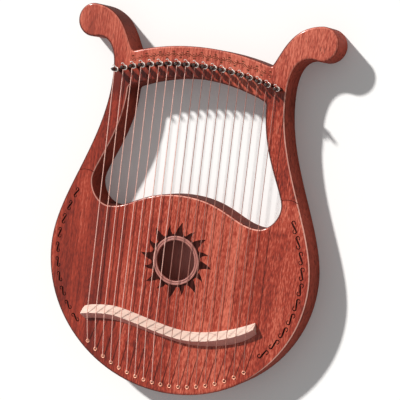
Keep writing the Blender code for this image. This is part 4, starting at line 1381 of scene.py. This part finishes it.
@dataclass
class Bridge:
    """The S-shaped bridge: it rises from a thin upper edge to a ridge and falls steeply to its foot."""

    height: float = 11.0 * MM
    edge_height: float = 1.2 * MM
    ridge_radius: float = 0.45 * MM
    corner: float = 3.2 * MM
    sections: int = 150
    upper: tuple[tuple[Place, ...], ...] = (
        ((-125.3, 95.4), (-119.0, 99.4), (-95.0, 103.2), (-81.0, 103.2)),
        ((-81.0, 103.2), (-60.0, 103.2), (-6.0, 88.2), (23.0, 88.2)),
        ((23.0, 88.2), (57.0, 88.2), (97.0, 102.4), (122.2, 117.0)),
    )
    ridge: tuple[tuple[Place, ...], ...] = (
        ((-125.1, 86.2), (-119.5, 88.2), (-94.0, 92.5), (-80.0, 92.5)),
        ((-80.0, 92.5), (-58.5, 92.5), (-5.0, 77.5), (26.5, 77.5)),
        ((26.5, 77.5), (58.0, 77.5), (102.0, 92.9), (122.6, 108.7)),
    )
    foot: tuple[tuple[Place, ...], ...] = (
        ((-122.0, 78.6), (-114.0, 81.8), (-94.0, 84.4), (-79.0, 84.4)),
        ((-79.0, 84.4), (-61.0, 84.4), (1.5, 71.2), (30.0, 71.2)),
        ((30.0, 71.2), (62.5, 71.2), (107.0, 82.6), (124.2, 101.7)),
    )

    def line(self, runs: Sequence[Sequence[Place]]) -> list[Vector]:
        """Returns points along the bridge, closer together towards its ends."""
        fine: list[Vector] = []
        for run in runs:
            knots = [Vector(knot) * MM for knot in run]
            piece = interpolate_bezier(*knots, 60)
            fine += piece if not fine else piece[1:]
        shares = [0.5 - 0.5 * math.cos(math.pi * step / self.sections) for step in range(self.sections + 1)]
        return [walk(fine, share)[0] for share in shares]

    @staticmethod
    def height_on(points: Sequence[Vector], x: float) -> float:
        """Returns y at x on a row of points that runs along x."""
        for first, last in zip(points, points[1:]):
            if first.x <= x <= last.x:
                return first.y + (x - first.x) / (last.x - first.x) * (last.y - first.y)
        return points[0].y if x < points[0].x else points[-1].y

    def section(self, edge: Vector, crest: Vector, toe: Vector, cut: float) -> list[Vector]:
        """Draws one section.

        Args:
            edge: point on the upper edge.
            crest: point on the ridge.
            toe: point on the foot.
            cut: how much a rounded corner takes off at the upper edge.

        Returns:
            The section's corners, from the upper edge over the ridge to the foot.
        """
        base = THICKNESS + 0.02 * MM
        top = THICKNESS + self.height
        low = base + self.edge_height
        share = cut / (crest - edge).length
        start = edge.lerp(crest, share)
        begin = Vector((*start, low + (top - low) * share))
        ridge = Vector((*crest, top))
        end = Vector((*toe, base))
        up = (begin - ridge).normalized()
        down = (end - ridge).normalized()
        rounded = [ridge + up * self.ridge_radius, ridge + (up + down) * 0.22 * self.ridge_radius]
        return [Vector((*start, base)), begin, *rounded, ridge + down * self.ridge_radius, end]

    def build(self, bench: Bench) -> None:
        """Makes the bridge."""
        bm = bmesh.new()
        rows = []
        lines = (self.line(self.upper), self.line(self.ridge), self.line(self.foot))
        for edge, crest, toe in zip(*lines):
            gap = min((edge - lines[0][0]).length, (edge - lines[0][-1]).length)
            left = max(0.0, self.corner - gap)
            cut = self.corner - math.sqrt(self.corner**2 - left**2)
            rows.append([bm.verts.new(point) for point in self.section(edge, crest, toe, cut)])
        for first, last in zip(rows, rows[1:]):
            for near in range(len(first)):
                far = (near + 1) % len(first)
                bm.faces.new((first[near], first[far], last[far], last[near]))
        bm.faces.new(rows[0])
        bm.faces.new(rows[-1])
        bmesh.ops.recalc_face_normals(bm, faces=bm.faces)
        mesh = bpy.data.meshes.new("bridge")
        bm.to_mesh(mesh)
        bm.free()
        finish = PaleWood(
            "Maple",
            (0.72, 0.545, 0.46),
            (0.59, 0.40, 0.325),
            (0.33, 0.19, 0.145),
            # painted shade and red reflection of the soundboard on the bridge's lower face
            side=(0.70, 0.31, 0.26),
            streak=240.0,
            line_share=0.45,
        )
        bench.set_piece("bridge_top", mesh, finish, ("bridge",), flat=True)


@dataclass
class Ferrules:
    """Copper-toned eyelets that the strings go through."""

    plan: StringPlan
    outer: float = 2.75 * MM
    bore: float = 1.5 * MM
    height: float = 1.0 * MM
    shank: float = 1.9 * MM
    steps: int = 40

    def build(self, bench: Bench) -> None:
        """Turns one eyelet at each string hole."""
        profile: list[Place] = [(self.shank, -1.5 * MM), (self.shank, 0.0), (self.outer, 0.02 * MM)]
        lip = (self.outer - self.bore) / 2.0
        for step in range(9):
            angle = math.pi * step / 8.0
            across = (self.outer + self.bore) / 2.0 + lip * math.cos(angle)
            profile.append((across, self.height * (0.35 + 0.65 * math.sin(angle))))
        profile.append((self.bore, -1.5 * MM))
        finish = Metal("Copper brass", (1.0, 0.50, 0.34), (0.92, 0.41, 0.27), 0.26, metallic=0.4)
        for index in range(STRING_COUNT):
            mesh = bench.turned(profile, self.steps, self.plan.ferrule(index))
            bench.set_piece(f"ferrule_{index + 1:02d}", mesh, finish)


@dataclass
class TuningPins:
    """Steel pins with a round shank, an eye for the string and a tapered square head."""

    plan: StringPlan
    depth: float = 16.0 * MM
    shank: float = 17.0 * MM
    head: float = 7.5 * MM
    head_width: float = 3.5 * MM
    head_taper: float = 0.6 * MM
    eye_radius: float = 0.75 * MM
    eye_height: float = 16.0 * MM
    nose: float = 1.2 * MM
    thread_pitch: float = 0.9 * MM
    thread_top: float = 3.4 * MM
    steps: int = 32

    def shank_mesh(self, bench: Bench) -> bpy.types.Mesh:
        """Turns the shank, with fine grooves where it enters the wood."""
        radius = self.plan.pin_radius
        profile: list[Place] = [(0.0, -self.depth), (radius - self.nose, -self.depth)]
        profile.append((radius - 0.1 * MM, -self.depth + self.nose))
        height = -self.depth + self.nose
        while height < self.thread_top:
            profile.append((radius - 0.16 * MM, height))
            profile.append((radius, height + self.thread_pitch / 2.0))
            height += self.thread_pitch
        profile.append((radius - 0.05 * MM, self.thread_top + self.thread_pitch))
        profile.append((radius, self.thread_top + 2.0 * self.thread_pitch))
        profile.append((radius, self.shank - 0.5 * MM))
        profile.append((radius - 0.5 * MM, self.shank))
        profile.append((0.0, self.shank))
        return bench.turned(profile, self.steps, Vector((0.0, 0.0, 0.0)))

    def head_mesh(self, bench: Bench) -> bpy.types.Mesh:
        """Makes the tapered square head."""
        bm = bmesh.new()
        corner = math.sqrt(0.5)
        bmesh.ops.create_cone(
            bm,
            cap_ends=True,
            segments=4,
            radius1=(self.head_width + self.head_taper) * corner,
            radius2=self.head_width * corner,
            depth=self.head + self.nose,
            matrix=Matrix.Translation((0.0, 0.0, self.shank + (self.head - self.nose) / 2.0)),
        )
        mesh = bpy.data.meshes.new("head")
        bm.to_mesh(mesh)
        bm.free()
        return bench.bevelled(mesh, 0.35 * MM, 3, lambda edge: sharp_turn(edge, 30.0))

    def build(self, bench: Bench) -> None:
        """Makes one pin for each string, riding on its own body."""
        eye = bench.turned(
            [
                (0.0, -6.0 * MM),
                (self.eye_radius + 3.6 * MM, -6.0 * MM),
                (self.eye_radius, -self.plan.pin_radius + 0.25 * MM),
                (self.eye_radius, self.plan.pin_radius - 0.25 * MM),
                (self.eye_radius + 3.6 * MM, 6.0 * MM),
                (0.0, 6.0 * MM),
            ],
            16,
            Vector((0.0, 0.0, 0.0)),
        )
        eye.transform(Matrix.Translation((0.0, 0.0, self.eye_height - 1.2 * MM)) @ Matrix.Rotation(math.pi / 2.0, 4, "X"))
        pin = bench.carved(self.shank_mesh(bench), join=[self.head_mesh(bench)], cut=[eye])
        finish = Metal("Dark nickel", (0.12, 0.096, 0.088), (0.035, 0.027, 0.024), 0.16, wear=0.10)
        for index in range(STRING_COUNT):
            mesh = pin.copy()
            mesh.transform(Matrix.Translation(self.plan.pin(index)))
            bench.set_piece(
                f"pin_{index + 1:02d}_steel",
                mesh,
                finish,
                (f"tuning_pin_{index + 1:02d}",),
                body=f"pin_{index + 1:02d}",
            )


@dataclass
class Strings:
    """Steel strings: wound on the pin, over the bridge and down through the ferrule."""

    plan: StringPlan
    bridge: Bridge
    turns: float = 2.25
    steps: int = 28
    winding_height: float = 10.8 * MM
    winding_gap: float = 0.12 * MM
    pin_gap: float = 0.03 * MM
    bend: float = 1.3 * MM
    bend_steps: int = 8
    crest: float = 1.02 * MM
    ball_radius: float = 2.1 * MM
    ball_height: float = 2.4 * MM
    ball_top: float = 2.9 * MM
    eye_height: float = 14.8 * MM
    hook: tuple[tuple[float, float, float], ...] = (
        (-0.2, 0.9, 0.1),
        (-0.7, 2.0, 0.5),
        (-1.5, 2.9, 1.2),
        (-2.4, 3.1, 2.1),
        (-3.0, 2.6, 3.0),
        (-3.1, 1.8, 3.7),
    )
    wound_strings: int = 9

    def winding(self, index: int) -> list[Vector]:
        """Returns the turns on the pin, from the loose end down to where the string leaves to the left."""
        centre = self.plan.pin(index)
        radius = self.plan.diameter(index) / 2.0
        reach = self.plan.pin_radius + self.pin_gap + radius
        pitch = 2.0 * radius + self.winding_gap
        count = round(self.turns * self.steps)
        points = []
        for step in range(count + 1):
            left = (count - step) / self.steps
            angle = math.pi - math.tau * left
            offset = Vector((reach * math.cos(angle), reach * math.sin(angle), self.winding_height + pitch * left))
            points.append(centre + offset)
        return points

    def route(self, index: int) -> list[Vector]:
        """Returns the string's middle line from the winding to its ball end."""
        radius = self.plan.diameter(index) / 2.0
        points = self.winding(index)
        start = points[-1]
        ferrule = self.plan.ferrule(index)
        top = THICKNESS + self.bridge.height + radius - 0.02 * MM

        def across(y: float) -> float:
            """Returns where the string is across the harp at a height on it."""
            return start.x + (start.y - y) / (start.y - ferrule.y) * (ferrule.x - start.x)

        ridge = self.bridge.line(self.bridge.ridge)
        y = self.bridge.height_on(ridge, across(self.bridge.height_on(ridge, start.x)))
        stop = Vector((across(y), y, top))
        crest = THICKNESS + self.crest + radius
        turn_centre = Vector((ferrule.x, ferrule.y + self.bend, crest - self.bend))
        bend = []
        for step in range(self.bend_steps + 1):
            angle = math.pi / 2.0 + math.pi / 2.0 * step / self.bend_steps
            bend.append(turn_centre + self.bend * Vector((0.0, math.cos(angle), math.sin(angle))))
        points += [start.lerp(stop, share / 6.0) for share in range(1, 7)]
        points += [stop.lerp(bend[0], share / 3.0) for share in range(1, 3)]
        return points + bend + [Vector((ferrule.x, ferrule.y, self.ball_top))]

    def build(self, bench: Bench) -> None:
        """Makes the strings and the short tails through the pins' eyes."""
        plain = Metal("Plain string", (0.45, 0.20, 0.155), (0.36, 0.14, 0.107), 0.45, scratch=420.0, metallic=0.1)
        wound = Metal(
            "Wound string",
            (0.98, 0.58, 0.49),
            (0.88, 0.48, 0.40),
            0.36,
            scratch=420.0,
            winding=0.42 * MM,
            metallic=0.1,
        )
        coiled = Metal("Coiled wire", (0.40, 0.29, 0.25), (0.20, 0.14, 0.12), 0.24, scratch=420.0, metallic=0.85)
        bright = Metal("Bright wire", (0.90, 0.81, 0.76), (0.80, 0.70, 0.64), 0.42, scratch=420.0)
        for index in range(STRING_COUNT):
            radius = self.plan.diameter(index) / 2.0
            wire = bench.tube(self.route(index), radius, 12)
            ferrule = self.plan.ferrule(index)
            low = self.ball_top - self.ball_height
            ball = bench.turned(
                [
                    (0.0, low),
                    (self.ball_radius - 0.3 * MM, low),
                    (self.ball_radius, low + 0.3 * MM),
                    (self.ball_radius, self.ball_top - 0.3 * MM),
                    (self.ball_radius - 0.3 * MM, self.ball_top),
                    (0.0, self.ball_top),
                ],
                24,
                Vector((*ferrule.xy, 0.0)),
            )
            finish = wound if index < self.wound_strings else plain
            number = f"{index + 1:02d}"
            mesh = bench.joined([wire, ball])
            mesh.materials.append(bench.finish(finish))
            mesh.materials.append(bench.finish(coiled))
            pin = self.plan.pin(index).xy
            for face in mesh.polygons:
                face.material_index = int((face.center.xy - pin).length < self.plan.pin_radius + 2.2 * radius)
            bench.set_piece(f"wire_{number}", mesh, None, (f"string_{number}",), angle=40.0)
            tail = bench.tube(self.tail(index), radius, 12)
            bench.set_piece(f"wire_tail_{number}", tail, bright, body=f"pin_{number}", angle=40.0)

    def tail(self, index: int) -> list[Vector]:
        """Returns the loose end: half a turn up from the winding, through the eye and out in a hook."""
        centre = self.plan.pin(index)
        radius = self.plan.diameter(index) / 2.0
        first = self.winding(index)[0]
        reach = self.plan.pin_radius + self.pin_gap + radius
        rise = self.eye_height - (first.z - centre.z)
        points = []
        for step in range(13):
            share = step / 12.0
            turn = math.pi / 2.0 - math.pi * share
            height = self.eye_height - rise * (1.0 - share)
            points.append(centre + Vector((reach * math.cos(turn), reach * math.sin(turn), height)))
        eye = centre + Vector((0.0, 0.0, self.eye_height))
        side = self.plan.pin_radius
        points.append(eye - Vector((0.0, side * 0.5, 0.0)))
        hook = [Vector(spot) * MM for spot in self.hook]
        start = eye + Vector((0.0, side, 0.0))
        return points + [eye, start] + [start + spot for spot in hook]


@dataclass
class Studio:
    """Floor, soft light and the photograph's camera."""

    camera_place: tuple[float, float, float] = (703.9 * MM, 165.12 * MM, 1734.2 * MM)
    camera_turn: tuple[float, float, float] = (-1.9844, 22.3148, 7.5657)
    lens: float = 126.0
    sun_bearing: float = math.radians(-41.0)
    sun_height: float = math.radians(36.0)
    sun_power: float = 4.40
    sun_width: float = math.radians(3.0)
    sky: float = 0.26
    floor_size: float = 12.0

    def build(self, bench: Bench) -> None:
        """Sets up the scene round the harp."""
        scene = bpy.context.scene
        bm = bmesh.new()
        bmesh.ops.create_grid(bm, x_segments=1, y_segments=1, size=self.floor_size / 2.0)
        bmesh.ops.translate(bm, verts=bm.verts, vec=(0.0, 0.0, -0.1 * MM))
        mesh = bpy.data.meshes.new("floor")
        bm.to_mesh(mesh)
        bm.free()
        mesh.materials.append(bench.finish(PaleFloor()))
        bench.shown("floor", mesh)

        travel = Vector(
            (
                math.cos(self.sun_height) * math.cos(self.sun_bearing),
                math.cos(self.sun_height) * math.sin(self.sun_bearing),
                -math.sin(self.sun_height),
            )
        )
        lamp = bpy.data.lights.new("key", "SUN")
        lamp.energy = self.sun_power
        lamp.angle = self.sun_width
        lamp.color = (1.0, 0.98, 0.95)
        key = bench.shown("key", lamp)
        key.rotation_euler = travel.to_track_quat("-Z", "Y").to_euler()

        scene.world = bpy.data.worlds.new("Studio")
        recipe = Recipe("Studio", scene.world)
        ray = recipe.node("ShaderNodeLightPath")
        seen = Level(recipe, ray.outputs["Is Camera Ray"]) + Level(recipe, ray.outputs["Is Glossy Ray"])
        seen = (seen + Level(recipe, ray.outputs["Is Transmission Ray"])).combined("MINIMUM", 1.0)
        strength = seen * (1.0 - self.sky) + self.sky
        glow = recipe.node("ShaderNodeBackground", None, {"Color": (1.0, 1.0, 1.0), "Strength": strength})
        recipe.node("ShaderNodeOutputWorld", None, {"Surface": glow.outputs[0]})

        camera = bpy.data.cameras.new("camera")
        camera.lens = self.lens
        camera.sensor_width = 36.0
        camera.sensor_fit = "HORIZONTAL"
        camera.clip_start = 0.1
        camera.clip_end = 30.0
        eye = bench.shown("camera", camera)
        turn = Euler([math.radians(angle) for angle in self.camera_turn])
        eye.matrix_world = Matrix.Translation(self.camera_place) @ turn.to_matrix().to_4x4()
        scene.camera = eye
        scene.view_settings.view_transform = "Standard"


def main() -> None:
    """Loads the frame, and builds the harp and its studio."""
    logging.basicConfig(level=logging.INFO, format="%(name)s %(message)s")
    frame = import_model()
    bench = Bench()
    plan = StringPlan()
    ornament = Ornament()
    bridge = Bridge()
    HarpBody(plan).build(bench, ornament)
    Rosette().build(bench)
    bridge.build(bench)
    Ferrules(plan).build(bench)
    TuningPins(plan).build(bench)
    Strings(plan, bridge).build(bench)
    spruce = PaleWood(
        "Spruce", (0.66, 0.48, 0.30), (0.50, 0.34, 0.20), (0.34, 0.20, 0.11), streak=200.0, grain=Axis.ACROSS
    )
    bench.repaint(frame["nodes"], ["upper_brace", "lower_brace"], spruce)
    Studio().build(bench)


if __name__ == "__main__":
    main()
